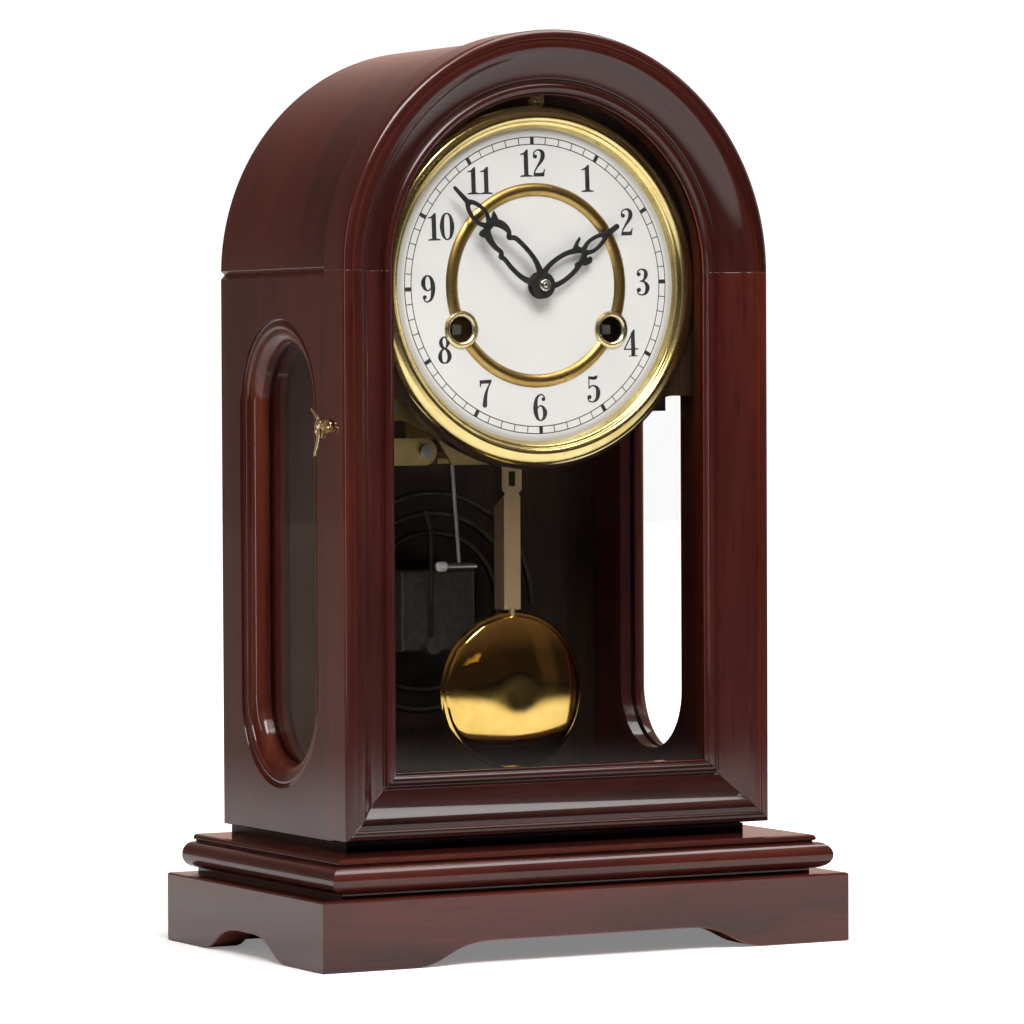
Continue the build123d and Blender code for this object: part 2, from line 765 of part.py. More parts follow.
winding_places = [(-winding_x, winding_z), (winding_x, winding_z)]
with BuildPart() as dial_board:
    with BuildSketch(front_plane(dial_board_back)):
        with Locations((0, arch_centre_z)):
            Circle(inner_half)
            Rectangle(2 * inner_half, arch_centre_z - dial_board_foot_z,
                      align=(Align.CENTER, Align.MAX))
        with Locations((0, dial_board_foot_z)):
            Rectangle(2 * inner_half, 2 * inner_half, align=(Align.CENTER, Align.MAX),
                      mode=Mode.SUBTRACT)
        with Locations((0, dial_z)):
            Circle(dial_board_radius)
    extrude(amount=dial_board_thickness)
    flare_half = math.sqrt(dial_board_radius**2 - (dial_z - dial_board_foot_z)**2)
    flare_edges = dial_board.edges().filter_by(Axis.Y).filter_by(
        lambda edge: abs(edge.center().Z - dial_board_foot_z) < 0.5
        and abs(abs(edge.center().X) - flare_half) < 0.5)
    fillet(flare_edges, radius=9.0)
    with BuildSketch(front_plane(dial_board_back)):
        with Locations((0, dial_z)):
            Circle(dial_board_hole_radius)
    extrude(amount=dial_board_thickness, mode=Mode.SUBTRACT)
dial_board.part.label = "dial_board"
export_step(dial_board.part, "parts/dial_board.step")

with BuildPart() as dial_plate:
    with BuildSketch(front_plane(dial_back)):
        with Locations((0, dial_z)):
            Circle(dial_radius)
            Circle(dial_centre_hole_radius, mode=Mode.SUBTRACT)
        with Locations(*winding_places):
            Circle(collet_hole_radius, mode=Mode.SUBTRACT)
    extrude(amount=dial_thickness)
dial_plate.part.label = "dial_plate"
export_step(dial_plate.part, "parts/dial_plate.step")

# Turned rings are drawn in the YZ plane and spun about the dial's axis.
dial_axis = Axis((0, 0, dial_z), (0, 1, 0))
with BuildPart() as dial_ring:
    with BuildSketch(Plane.YZ):
        with BuildLine():
            crown = ThreePointArc((dial_front, dial_z + ring_inner_radius),
                                  (dial_front - ring_height, dial_z + (ring_inner_radius + ring_outer_radius) / 2),
                                  (dial_front, dial_z + ring_outer_radius))
            Line(crown @ 1, crown @ 0)
        make_face()
    revolve(axis=dial_axis)
    with BuildSketch(front_plane(dial_front)):
        with Locations(*winding_places):
            Circle(collet_outer_radius)
    extrude(amount=bezel_height, mode=Mode.SUBTRACT)
dial_ring.part.label = "dial_ring"
export_step(dial_ring.part, "parts/dial_ring.step")

with BuildPart() as bezel:
    with BuildSketch(Plane.YZ):
        with BuildLine():
            rim = Polyline((dial_front, dial_z + dial_radius), (dial_back, dial_z + dial_radius),
                           (dial_back, dial_z + bezel_outer_radius),
                           (dial_back - 1.0, dial_z + bezel_outer_radius))
            flange = ThreePointArc(rim @ 1, (dial_back - bezel_height, dial_z + bezel_outer_radius - 4.2),
                                   (dial_back - 3.6, dial_z + bezel_inner_radius + 2.2))
            Polyline(flange @ 1, (dial_back - 2.9, dial_z + bezel_inner_radius + 1.5),
                     (dial_back - 2.2, dial_z + bezel_inner_radius),
                     (dial_front, dial_z + bezel_inner_radius), (dial_front, dial_z + dial_radius))
        make_face()
    revolve(axis=dial_axis)
bezel.part.label = "bezel"
export_step(bezel.part, "parts/bezel.step")

with BuildPart() as winding_collets:
    with BuildSketch(front_plane(dial_front)):
        with Locations(*winding_places):
            Circle(collet_outer_radius)
            Circle(collet_hole_radius, mode=Mode.SUBTRACT)
    extrude(amount=collet_height)
    fillet(winding_collets.edges().group_by(Axis.Y)[0], radius=0.8)
winding_collets.part.label = "winding_collets"
export_step(winding_collets.part, "parts/winding_collets.step")

clip_foot_z = dial_z + bezel_outer_radius + 0.3
with BuildPart() as bezel_clip:
    with BuildSketch(front_plane(dial_back)):
        with Locations((0, clip_foot_z)):
            Rectangle(8.0, 4.6, align=(Align.CENTER, Align.MIN))
    extrude(amount=1.2)
    with BuildSketch(front_plane(dial_back - 1.2)):
        with Locations((0, clip_foot_z + 2.3)):
            Circle(1.7)
        with Locations((-2.6, clip_foot_z - 0.3), (2.6, clip_foot_z - 0.3)):
            Rectangle(2.2, 2.9, align=(Align.CENTER, Align.MIN))
    extrude(amount=0.8)
bezel_clip.part.label = "bezel_clip"
export_step(bezel_clip.part, "parts/bezel_clip.step")


# ---------------------------------------------------------------- movement frame

centre = (0.0, dial_z)
time_arbor = (winding_x, winding_z)
strike_arbor = (-winding_x, winding_z)
great_distance = great_module * (great_teeth + great_pinion_teeth) / 2
second_distance = second_module * (second_teeth + centre_pinion_teeth) / 2
centre_distance = centre_module * (centre_teeth + third_pinion_teeth) / 2
third_distance = third_module * (third_teeth + escape_pinion_teeth) / 2
escape_arbor = (0.0, suspension_z - 19.0)
second_arbor = mesh_point(centre, time_arbor, second_distance, great_distance, 1)
third_arbor = mesh_point(centre, escape_arbor, centre_distance, third_distance, -1)
motion_distance = minute_module * (cannon_teeth + minute_wheel_teeth) / 2
minute_stud = (motion_distance * math.cos(math.radians(60)),
               dial_z + motion_distance * math.sin(math.radians(60)))
pin_arbor = (strike_arbor[0] + great_distance * math.cos(math.radians(103)),
             strike_arbor[1] + great_distance * math.sin(math.radians(103)))
fly_distance = pin_wheel_module * (pin_wheel_teeth + fly_pinion_teeth) / 2
fly_arbor = (pin_arbor[0] + fly_distance * math.cos(math.radians(60)),
             pin_arbor[1] + fly_distance * math.sin(math.radians(60)))
hammer_pivot = (hammer_arbor_x, hammer_arbor_z)
pillar_places = [(side * x, z) for side in (-1, 1)
                 for x, z in ((58.0, plate_top_z - 9.0), (62.0, 268.0), (20.0, plate_foot_z + 6.2))]
seat_top_z = 262.0
seat_foot_z = 227.5
seat_depth = 14.0
seat_foot_x = 33.0
seat_foot_height = 11.5
seat_hold_x = 50.0
short_seat_foot_z = 251.5
strap_end_radius = 6.4


def plate_outline(foot_half, foot_z):
    """Movement plate: a tall plate with cut-off top corners and a narrow foot."""
    half = plate_half_width
    top = plate_top_z
    with BuildSketch() as outline:
        with BuildLine():
            Polyline((-foot_half, foot_z), (foot_half, foot_z), (foot_half + 10, foot_z + 15),
                     (half - 14, seat_top_z - 14), (half, seat_top_z - 14), (half, top - 12),
                     (half - 12, top), (-half + 12, top), (-half, top - 12), (-half, seat_top_z - 14),
                     (-half + 14, seat_top_z - 14), (-foot_half - 10, foot_z + 15), close=True)
        make_face()
    return outline.sketch


plate_bores = [(second_arbor, arbor_radius), (third_arbor, arbor_radius), (pin_arbor, arbor_radius),
               (escape_arbor, arbor_radius), (fly_arbor, arbor_radius), (hammer_pivot, arbor_radius),
               (centre, centre_arbor_radius), (time_arbor, winding_arbor_radius),
               (strike_arbor, winding_arbor_radius)]
suspension_post = (8.0, suspension_z + 6.0)
verge_stud_radius = 1.5
minute_stud_radius = 1.2

with BuildPart() as front_plate:
    with BuildSketch(front_plane(front_plate_back)):
        add(plate_outline(plate_foot_half, plate_foot_z))
        for place, radius in plate_bores:
            with Locations(place):
                Circle(radius + pivot_gap, mode=Mode.SUBTRACT)
    extrude(amount=plate_thickness)
    with BuildSketch(front_plane(front_plate_front)):
        with Locations((0, suspension_z)):
            Circle(verge_stud_radius)
    extrude(amount=5.0)
    with BuildSketch(front_plane(front_plate_front)):
        with Locations(minute_stud):
            Circle(minute_stud_radius)
    extrude(amount=21.0)
front_plate.part.label = "front_plate"
export_step(front_plate.part, "parts/front_plate.step")

with BuildPart() as back_plate:
    with BuildSketch(front_plane(back_plate_back)):
        add(plate_outline(plate_foot_half, plate_foot_z))
        for place, radius in plate_bores:
            with Locations(place):
                Circle(radius + pivot_gap, mode=Mode.SUBTRACT)
    extrude(amount=plate_thickness)
back_plate.part.label = "back_plate"
export_step(back_plate.part, "parts/back_plate.step")

with BuildPart() as plate_pillars:
    with BuildSketch(front_plane(back_plate_front)):
        with Locations(*pillar_places):
            Circle(pillar_radius)
    extrude(amount=back_plate_front - front_plate_back)
plate_pillars.part.label = "plate_pillars"
export_step(plate_pillars.part, "parts/plate_pillars.step")

with BuildPart() as movement_seats:
    with BuildSketch(front_plane(front_plate_back)):
        with BuildLine():
            Polyline((-seat_foot_x, seat_foot_z), (-inner_half, seat_foot_z),
                     (-inner_half, seat_top_z), (-seat_hold_x, seat_top_z),
                     (-seat_hold_x, seat_foot_z + seat_foot_height),
                     (-seat_foot_x, seat_foot_z + seat_foot_height), close=True)
        make_face()
        with Locations((seat_hold_x, short_seat_foot_z)):
            Rectangle(inner_half - seat_hold_x, seat_top_z - short_seat_foot_z,
                      align=(Align.MIN, Align.MIN))
    extrude(amount=-seat_depth)
movement_seats.part.label = "movement_seats"
export_step(movement_seats.part, "parts/movement_seats.step")

with BuildPart() as movement_strap:
    with BuildSketch(front_plane(front_plate_back)):
        with Locations((-strap_screw_x, strap_screw_z)):
            Circle(strap_end_radius)
            Rectangle(inner_half - strap_screw_x, 2 * strap_end_radius, align=(Align.MAX, Align.CENTER))
    extrude(amount=plate_thickness)
movement_strap.part.label = "movement_strap"
export_step(movement_strap.part, "parts/movement_strap.step")

suspension_y = pendulum_y + 1.4
with BuildPart() as suspension_bracket:
    with BuildSketch(front_plane(front_plate_front)):
        with Locations(suspension_post):
            Circle(2.5)
    extrude(amount=front_plate_front - suspension_y + 3.2)
    with BuildSketch(front_plane(suspension_y + 3.0)):
        with Locations((-2.4, suspension_z + 1.5)):
            Rectangle(suspension_post[0] + 2.4, 4.0, align=Align.MIN)
    extrude(amount=6.2)
    with BuildSketch(front_plane(suspension_y + 3.0)):
        with Locations((0, suspension_z)):
            Rectangle(1.2, 20.0)
    extrude(amount=6.2, mode=Mode.SUBTRACT)
    with BuildSketch(side_plane(-2.4)):
        with Locations((suspension_y, suspension_z + 4.0)):
            Circle(0.4)
    extrude(amount=5.0)
suspension_bracket.part.label = "suspension_bracket"
export_step(suspension_bracket.part, "parts/suspension_bracket.step")

with BuildPart() as mainsprings:
    with BuildSketch(front_plane(mainspring_back)):
        with Locations(time_arbor, strike_arbor):
            Circle(mainspring_radius)
            Circle(mainspring_bore, mode=Mode.SUBTRACT)
    extrude(amount=mainspring_back - mainspring_front)
mainsprings.part.label = "mainsprings"
export_step(mainsprings.part, "parts/mainsprings.step")


# ---------------------------------------------------------------- wheels

# Front and back faces of each wheel along Y
third_layer = (7.0, 8.2)
second_layer = (9.6, 11.2)
great_layer = (12.8, 15.3)
ratchet_layer = (15.8, 17.2)
centre_layer = (20.0, 21.2)
pinion_overhang = 0.4
arbor_front = front_plate_front + 0.2
arbor_back = back_plate_back - 0.2


def disc(face, front, back):
    """Solid of a face drawn in X and Z, between two places along Y."""
    with BuildPart() as solid:
        with BuildSketch(front_plane(back)):
            add(face)
        extrude(amount=back - front)
    return solid.part


def shaft(place, radius, front, back):
    """Round bar along Y between two places."""
    with BuildPart() as solid:
        with BuildSketch(front_plane(back)):
            with Locations(place):
                Circle(radius)
        extrude(amount=back - front)
    return solid.part


for node, place, pinion_place in (("time_great_wheel", time_arbor, second_arbor),
                                  ("strike_great_wheel", strike_arbor, pin_arbor)):
    with BuildPart() as great_wheel:
        teeth = wheel_points(great_teeth, great_module, heading(place, pinion_place))
        add(disc(spoked_disc(place, teeth, 19.0, 8.0, winding_arbor_radius + pivot_gap, 5), *great_layer))
        with BuildSketch(front_plane(ratchet_layer[1])):
            with Locations((place[0], place[1] + ratchet_radius + 0.6)):
                Rectangle(2.4, 7.0, align=(Align.CENTER, Align.MIN))
        extrude(amount=ratchet_layer[1] - great_layer[1])
    great_wheel.part.label = node
    export_step(great_wheel.part, f"parts/{node}.step")

for node, place in (("time_winding_arbor", time_arbor), ("strike_winding_arbor", strike_arbor)):
    with BuildPart() as winding_arbor:
        add(shaft(place, winding_arbor_radius, front_plate_front - 12.0, arbor_back))
        with BuildSketch(front_plane(front_plate_front - 12.0)):
            with Locations(place):
                Rectangle(winding_square, winding_square)
        extrude(amount=front_plate_front - 12.0 - winding_square_front)
        add(disc(pinion_face(place, saw_points(ratchet_teeth, ratchet_radius, 1.4)), *ratchet_layer))
        add(shaft(place, mainspring_core_radius, mainspring_front, mainspring_back))
    winding_arbor.part.label = node
    export_step(winding_arbor.part, f"parts/{node}.step")

with BuildPart() as second_wheel:
    add(shaft(second_arbor, arbor_radius, arbor_front, arbor_back))
    teeth = wheel_points(second_teeth, second_module, heading(second_arbor, centre))
    add(disc(spoked_disc(second_arbor, teeth, 16.0, 4.5, 0, 5), *second_layer))
    leaves = pinion_points(great_pinion_teeth, great_module, heading(second_arbor, time_arbor))
    add(disc(pinion_face(second_arbor, leaves), great_layer[0] - pinion_overhang,
         great_layer[1] + pinion_overhang))
second_wheel.part.label = "second_wheel"
export_step(second_wheel.part, "parts/second_wheel.step")

centre_arbor_tip = -41.0
with BuildPart() as centre_wheel:
    add(shaft(centre, centre_arbor_radius, centre_arbor_tip, arbor_back))
    teeth = wheel_points(centre_teeth, centre_module, heading(centre, third_arbor))
    add(disc(spoked_disc(centre, teeth, 17.5, 4.5, 0, 5), *centre_layer))
    leaves = pinion_points(centre_pinion_teeth, second_module, heading(centre, second_arbor))
    add(disc(pinion_face(centre, leaves), second_layer[0] - pinion_overhang,
         second_layer[1] + pinion_overhang))
centre_wheel.part.label = "centre_wheel"
export_step(centre_wheel.part, "parts/centre_wheel.step")

with BuildPart() as third_wheel:
    add(shaft(third_arbor, arbor_radius, arbor_front, arbor_back))
    teeth = wheel_points(third_teeth, third_module, heading(third_arbor, escape_arbor))
    add(disc(spoked_disc(third_arbor, teeth, 15.5, 4.0, 0, 5), *third_layer))
    leaves = pinion_points(third_pinion_teeth, centre_module, heading(third_arbor, centre))
    add(disc(pinion_face(third_arbor, leaves), centre_layer[0] - pinion_overhang,
         centre_layer[1] + pinion_overhang))
third_wheel.part.label = "third_wheel"
export_step(third_wheel.part, "parts/third_wheel.step")

escape_layer = (-0.2, 0.8)
with BuildPart() as escape_wheel:
    add(shaft(escape_arbor, arbor_radius, escape_layer[0] - 0.6, arbor_back))
    add(disc(spoked_disc(escape_arbor, saw_points(escape_teeth, escape_radius, 1.6), 10.5, 3.0, 0, 4),
         *escape_layer))
    leaves = pinion_points(escape_pinion_teeth, third_module, heading(escape_arbor, third_arbor))
    add(disc(pinion_face(escape_arbor, leaves), third_layer[0] - pinion_overhang,
         third_layer[1] + pinion_overhang))
escape_wheel.part.label = "escape_wheel"
export_step(escape_wheel.part, "parts/escape_wheel.step")

with BuildPart() as pin_wheel:
    add(shaft(pin_arbor, arbor_radius, arbor_front, arbor_back))
    teeth = wheel_points(pin_wheel_teeth, pin_wheel_module, heading(pin_arbor, fly_arbor))
    add(disc(spoked_disc(pin_arbor, teeth, 13.0, 4.0, 0, 5), *second_layer))
    leaves = pinion_points(great_pinion_teeth, great_module, heading(pin_arbor, strike_arbor))
    add(disc(pinion_face(pin_arbor, leaves), great_layer[0] - pinion_overhang,
         great_layer[1] + pinion_overhang))
    with BuildSketch(front_plane(second_layer[0])):
        with Locations(pin_arbor):
            with PolarLocations(14.4, 8):
                Circle(0.6)
    extrude(amount=2.2)
pin_wheel.part.label = "pin_wheel"
export_step(pin_wheel.part, "parts/pin_wheel.step")

with BuildPart() as fly:
    add(shaft(fly_arbor, arbor_radius, arbor_front, arbor_back))
    leaves = pinion_points(fly_pinion_teeth, pin_wheel_module, heading(fly_arbor, pin_arbor))
    add(disc(pinion_face(fly_arbor, leaves), second_layer[0] - pinion_overhang,
         second_layer[1] + pinion_overhang))
    with BuildSketch(front_plane(34.0)):
        with Locations(fly_arbor):
            Circle(2.0)
            Rectangle(20.0, 0.6)
    extrude(amount=8.0)
fly.part.label = "fly"
export_step(fly.part, "parts/fly.step")

cannon_layer = (-13.2, -11.0)
minute_wheel_layer = (-12.7, -11.6)
minute_pinion_layer = (-16.2, -13.6)
hour_wheel_layer = (-15.5, -14.3)
with BuildPart() as cannon_pinion:
    leaves = pinion_points(cannon_teeth, minute_module, heading(centre, minute_stud))
    add(disc(pinion_face(centre, leaves), *cannon_layer))
    add(shaft(centre, cannon_radius, minute_hand_back - hand_thickness, cannon_layer[1] + 2.0))
    with BuildSketch(front_plane(0)):
        with Locations(centre):
            Circle(centre_arbor_radius + pivot_gap)
    extrude(amount=base_depth, mode=Mode.SUBTRACT)
cannon_pinion.part.label = "cannon_pinion"
export_step(cannon_pinion.part, "parts/cannon_pinion.step")

with BuildPart() as minute_wheel:
    teeth = wheel_points(minute_wheel_teeth, minute_module, heading(minute_stud, centre))
    add(disc(pinion_face(minute_stud, teeth), *minute_wheel_layer))
    leaves = pinion_points(minute_pinion_teeth, hour_module, heading(minute_stud, centre))
    add(disc(pinion_face(minute_stud, leaves), minute_pinion_layer[0], minute_wheel_layer[0]))
    with BuildSketch(front_plane(0)):
        with Locations(minute_stud):
            Circle(minute_stud_radius + pivot_gap)
    extrude(amount=base_depth, mode=Mode.SUBTRACT)
minute_wheel.part.label = "minute_wheel"
export_step(minute_wheel.part, "parts/minute_wheel.step")

with BuildPart() as hour_wheel:
    teeth = wheel_points(hour_wheel_teeth, hour_module, heading(centre, minute_stud))
    add(disc(spoked_disc(centre, teeth, 8.0, 4.6, 0, 4), *hour_wheel_layer))
    add(shaft(centre, hour_pipe_radius, hour_hand_back - hand_thickness, hour_wheel_layer[1]))
    with BuildSketch(front_plane(0)):
        with Locations(centre):
            Circle(cannon_radius + pivot_gap)
    extrude(amount=base_depth, mode=Mode.SUBTRACT)
hour_wheel.part.label = "hour_wheel"
export_step(hour_wheel.part, "parts/hour_wheel.step")


# ---------------------------------------------------------------- hands

def pierced_hand(length, boss, bore, big_loop, small_loop, strip, tip_width):
    """Serpentine hand pointing along Y: two pierced loops, barbs between them and a plain tip."""
    with BuildSketch() as hand:
        Circle(boss)
        for low, high, half_width in (big_loop, small_loop):
            with Locations((0, (low + high) / 2)):
                Ellipse(half_width, (high - low) / 2)
                Ellipse(half_width - strip, (high - low) / 2 - strip, mode=Mode.SUBTRACT)
        with Locations((0, boss - 1)):
            Rectangle(strip + 0.6, big_loop[0] - boss + 2.2, align=(Align.CENTER, Align.MIN))
        neck = big_loop[1] - strip
        with Locations((0, neck)):
            Rectangle(strip + 0.4, small_loop[0] - neck + strip, align=(Align.CENTER, Align.MIN))
        middle = (big_loop[1] + small_loop[0]) / 2
        for side in (-1, 1):
            with Locations(Location((side * 2.0, middle, 0), (0, 0, side * -40))):
                Ellipse(2.6, 1.0)
            with Locations(Location((side * (big_loop[2] + 0.4), big_loop[0] + 8.0, 0), (0, 0, side * 60))):
                Ellipse(2.0, 0.8)
        with BuildLine():
            Polyline((-tip_width / 2, small_loop[1] - strip), (-tip_width / 4, length),
                     (tip_width / 4, length), (tip_width / 2, small_loop[1] - strip), close=True)
        make_face()
        Circle(bore, mode=Mode.SUBTRACT)
    return hand.sketch


with BuildPart() as minute_hand:
    with BuildSketch(hand_plane(minute_hand_back, minute_hand_angle)):
        add(pierced_hand(minute_hand_length, 5.4, cannon_radius, (8.0, 36.0, 4.6), (44.0, 56.0, 4.0),
                         1.3, 2.2))
    extrude(amount=hand_thickness)
minute_hand.part.label = "minute_hand"
export_step(minute_hand.part, "parts/minute_hand.step")

with BuildPart() as hour_hand:
    with BuildSketch(hand_plane(hour_hand_back, hour_hand_angle)):
        add(pierced_hand(hour_hand_length, 5.8, hour_pipe_radius, (6.8, 28.0, 4.8), (31.2, 42.0, 3.2),
                         1.3, 2.6))
    extrude(amount=hand_thickness)
hour_hand.part.label = "hour_hand"
export_step(hour_hand.part, "parts/hour_hand.step")

nut_back = minute_hand_back - hand_thickness
with BuildPart() as hand_nut:
    with BuildSketch(front_plane(nut_back)):
        with Locations(centre):
            Circle(3.0)
    extrude(amount=2.7)
    fillet(hand_nut.edges().group_by(Axis.Y)[0], radius=1.8)
    with BuildSketch(front_plane(nut_back)):
        with Locations(centre):
            Circle(centre_arbor_radius + pivot_gap)
    extrude(amount=nut_back - centre_arbor_tip + 0.1, mode=Mode.SUBTRACT)
hand_nut.part.label = "hand_nut"
export_step(hand_nut.part, "parts/hand_nut.step")


# ---------------------------------------------------------------- pendulum and verge

pallet_x = 14.4
pallet_z = escape_arbor[1] + 7.6
with BuildPart() as verge:
    with BuildSketch(front_plane(1.2)):
        with Locations((0, suspension_z)):
            Circle(2.6)
        for side in (-1, 1):
            with BuildLine():
                Polyline((0, suspension_z + 1.2), (side * pallet_x, pallet_z + 4.2),
                         (side * (pallet_x + 1.2), pallet_z), (side * pallet_x, pallet_z),
                         (side * (pallet_x - 1.4), pallet_z + 3.0), (0, suspension_z - 1.6), close=True)
            make_face()
        with Locations((0, suspension_z)):
            Circle(verge_stud_radius + pivot_gap, mode=Mode.SUBTRACT)
    extrude(amount=1.8)
    crutch_y = suspension_y + 2.0
    crutch_top_z = suspension_z - 2.1
    with BuildLine() as crutch_path:
        FilletPolyline((0, 0.4, crutch_top_z), (0, crutch_y, crutch_top_z), (0, crutch_y, crutch_z),
                       radius=1.0)
    with BuildSketch(Plane(origin=crutch_path.line @ 0, z_dir=crutch_path.line % 0)):
        Circle(0.5)
    sweep(path=crutch_path.line)
    with BuildSketch(front_plane(crutch_y + 0.5)):
        with Locations((0, crutch_z)):
            Rectangle(4.0, 1.2)
    extrude(amount=4.2)
    with BuildSketch(front_plane(crutch_y - 0.5)):
        with Locations((0, crutch_z)):
            Rectangle(2.0, 2.0)
    extrude(amount=5.0, mode=Mode.SUBTRACT)
verge.part.label = "verge"
export_step(verge.part, "parts/verge.step")

wire_radius = 0.6
hook_z = rod_top_z - 2.6
spring_foot_z = suspension_z - 10.0
with BuildPart() as pendulum_hanger:
    with BuildSketch(side_plane(-0.1)):
        with Locations((suspension_y, spring_foot_z)):
            Rectangle(2.6, suspension_z + 5.2 - spring_foot_z, align=(Align.CENTER, Align.MIN))
        with Locations((suspension_y, suspension_z + 4.0)):
            Circle(0.9, mode=Mode.SUBTRACT)
    extrude(amount=0.2)
    with BuildSketch(Plane.XY.offset(spring_foot_z - 3.0)):
        with Locations((0, suspension_y)):
            Rectangle(1.6, 2.6)
    extrude(amount=4.0)
    with BuildLine() as wire_path:
        FilletPolyline((0, suspension_y, spring_foot_z - 2.0), (0, suspension_y, hook_z),
                       (0, suspension_y - 4.4, hook_z), radius=0.9)
    with BuildSketch(Plane(origin=wire_path.line @ 0, z_dir=wire_path.line % 0)):
        Circle(wire_radius)
    sweep(path=wire_path.line)
pendulum_hanger.part.label = "pendulum_hanger"
export_step(pendulum_hanger.part, "parts/pendulum_hanger.step")

rod_front = pendulum_y - rod_sheet
rod_foot_z = bob_z + bob_radius + 1.0
rod_screw_radius = 1.6
rating_nut_height = 4.0
bob_foot_z = bob_z - bob_radius
with BuildPart() as pendulum_rod:
    with BuildSketch(front_plane(pendulum_y)):
        with BuildLine():
            half_head = rod_head_width / 2
            half_web = rod_web_width / 2
            half_neck = half_web - 0.9
            Polyline((half_web, rod_foot_z), (half_web, rod_shoulder_z - 1.5), (half_neck, rod_shoulder_z),
                     (half_head, rod_shoulder_z + 2.0), (half_head, rod_top_z),
                     (-half_head, rod_top_z), (-half_head, rod_shoulder_z + 2.0),
                     (-half_neck, rod_shoulder_z), (-half_web, rod_shoulder_z - 1.5),
                     (-half_web, rod_foot_z), close=True)
        make_face()
        with Locations((0, rod_shoulder_z + 3.6)):
            Rectangle(3.5, 7.0, align=(Align.CENTER, Align.MIN), mode=Mode.SUBTRACT)
        with Locations((0, hook_z + wire_radius)):
            Rectangle(3.0, 4.0, align=(Align.CENTER, Align.MAX), mode=Mode.SUBTRACT)
    extrude(amount=rod_sheet)
    for side in (-1, 1):
        with BuildSketch(Plane.XY.offset(rod_foot_z)):
            with BuildLine():
                Polyline((side * half_web, rod_front), (side * (half_web + 1.4), pendulum_y + rod_flange),
                         (side * (half_web + 1.4 - rod_sheet), pendulum_y + rod_flange),
                         (side * (half_web - rod_sheet), rod_front), close=True)
            make_face()
        extrude(amount=rod_shoulder_z - 1.5 - rod_foot_z)
    with BuildSketch(side_plane(-base_depth)):
        with BuildLine():
            Polyline((pendulum_y, rod_shoulder_z - 1.5), (pendulum_y + rod_flange + 1, rod_shoulder_z - 7.0),
                     (pendulum_y + rod_flange + 1, rod_shoulder_z), (pendulum_y, rod_shoulder_z), close=True)
        make_face()
    extrude(amount=2 * base_depth, mode=Mode.SUBTRACT)
    with BuildSketch(Plane.XY.offset(rod_foot_z)):
        with Locations((0, pendulum_y)):
            Rectangle(rod_web_width, 2 * rod_sheet)
    extrude(amount=3.0)
    with BuildSketch(Plane.XY.offset(bob_foot_z - rating_nut_height - 3.0)):
        with Locations((0, pendulum_y)):
            Circle(rod_screw_radius)
    extrude(amount=rod_foot_z + 1.0 - bob_foot_z + rating_nut_height + 3.0)
pendulum_rod.part.label = "pendulum_rod"
export_step(pendulum_rod.part, "parts/pendulum_rod.step")

bob_rim_half = 1.6
with BuildPart() as pendulum_bob:
    with BuildSketch(Plane.YZ):
        with BuildLine():
            rim_line = Line((pendulum_y - bob_rim_half, bob_z + bob_radius),
                            (pendulum_y + bob_rim_half, bob_z + bob_radius))
            back_curve = ThreePointArc(rim_line @ 1,
                                       (pendulum_y + 0.74 * bob_thickness / 2, bob_z + 0.58 * bob_radius),
                                       (pendulum_y + bob_thickness / 2, bob_z))
            middle_line = Line(back_curve @ 1, (pendulum_y - bob_thickness / 2, bob_z))
            ThreePointArc(middle_line @ 1,
                          (pendulum_y - 0.74 * bob_thickness / 2, bob_z + 0.58 * bob_radius),
                          rim_line @ 0)
        make_face()
    revolve(axis=Axis((0, 0, bob_z), (0, 1, 0)))
    with BuildSketch(Plane.XY.offset(bob_foot_z - 1.0)):
        with Locations((0, pendulum_y)):
            Circle(rod_screw_radius)
    extrude(amount=2 * bob_radius + 2.0, mode=Mode.SUBTRACT)
pendulum_bob.part.label = "pendulum_bob"
export_step(pendulum_bob.part, "parts/pendulum_bob.step")

with BuildPart() as rating_nut:
    with BuildSketch(Plane.XY.offset(bob_foot_z - rating_nut_height)):
        with Locations((0, pendulum_y)):
            RegularPolygon(5.0, 12)
            Circle(rod_screw_radius, mode=Mode.SUBTRACT)
    extrude(amount=rating_nut_height)
rating_nut.part.label = "rating_nut"
export_step(rating_nut.part, "parts/rating_nut.step")


# ---------------------------------------------------------------- gong and hammer

with BuildPart() as gong_block:
    with BuildSketch(front_plane(back_panel_front)):
        with Locations((gong_block_left, gong_block_bottom)):
            Rectangle(gong_block_width, gong_block_height, align=Align.MIN)
    extrude(amount=back_panel_front - gong_block_front)
    fillet(gong_block.faces().sort_by(Axis.Y)[0].edges(), radius=1.5)
    with BuildSketch(front_plane(gong_block_front + 2.0)):
        with Locations((gong_rod_x, gong_rod_z)):
            Circle(4.2)
    extrude(amount=9.0)
    with BuildSketch(Plane.XY.offset(gong_rod_z)):
        with Locations((gong_rod_x, gong_rod_y)):
            Circle(1.0)
    extrude(amount=10.0, mode=Mode.SUBTRACT)
gong_block.part.label = "gong_block"
export_step(gong_block.part, "parts/gong_block.step")

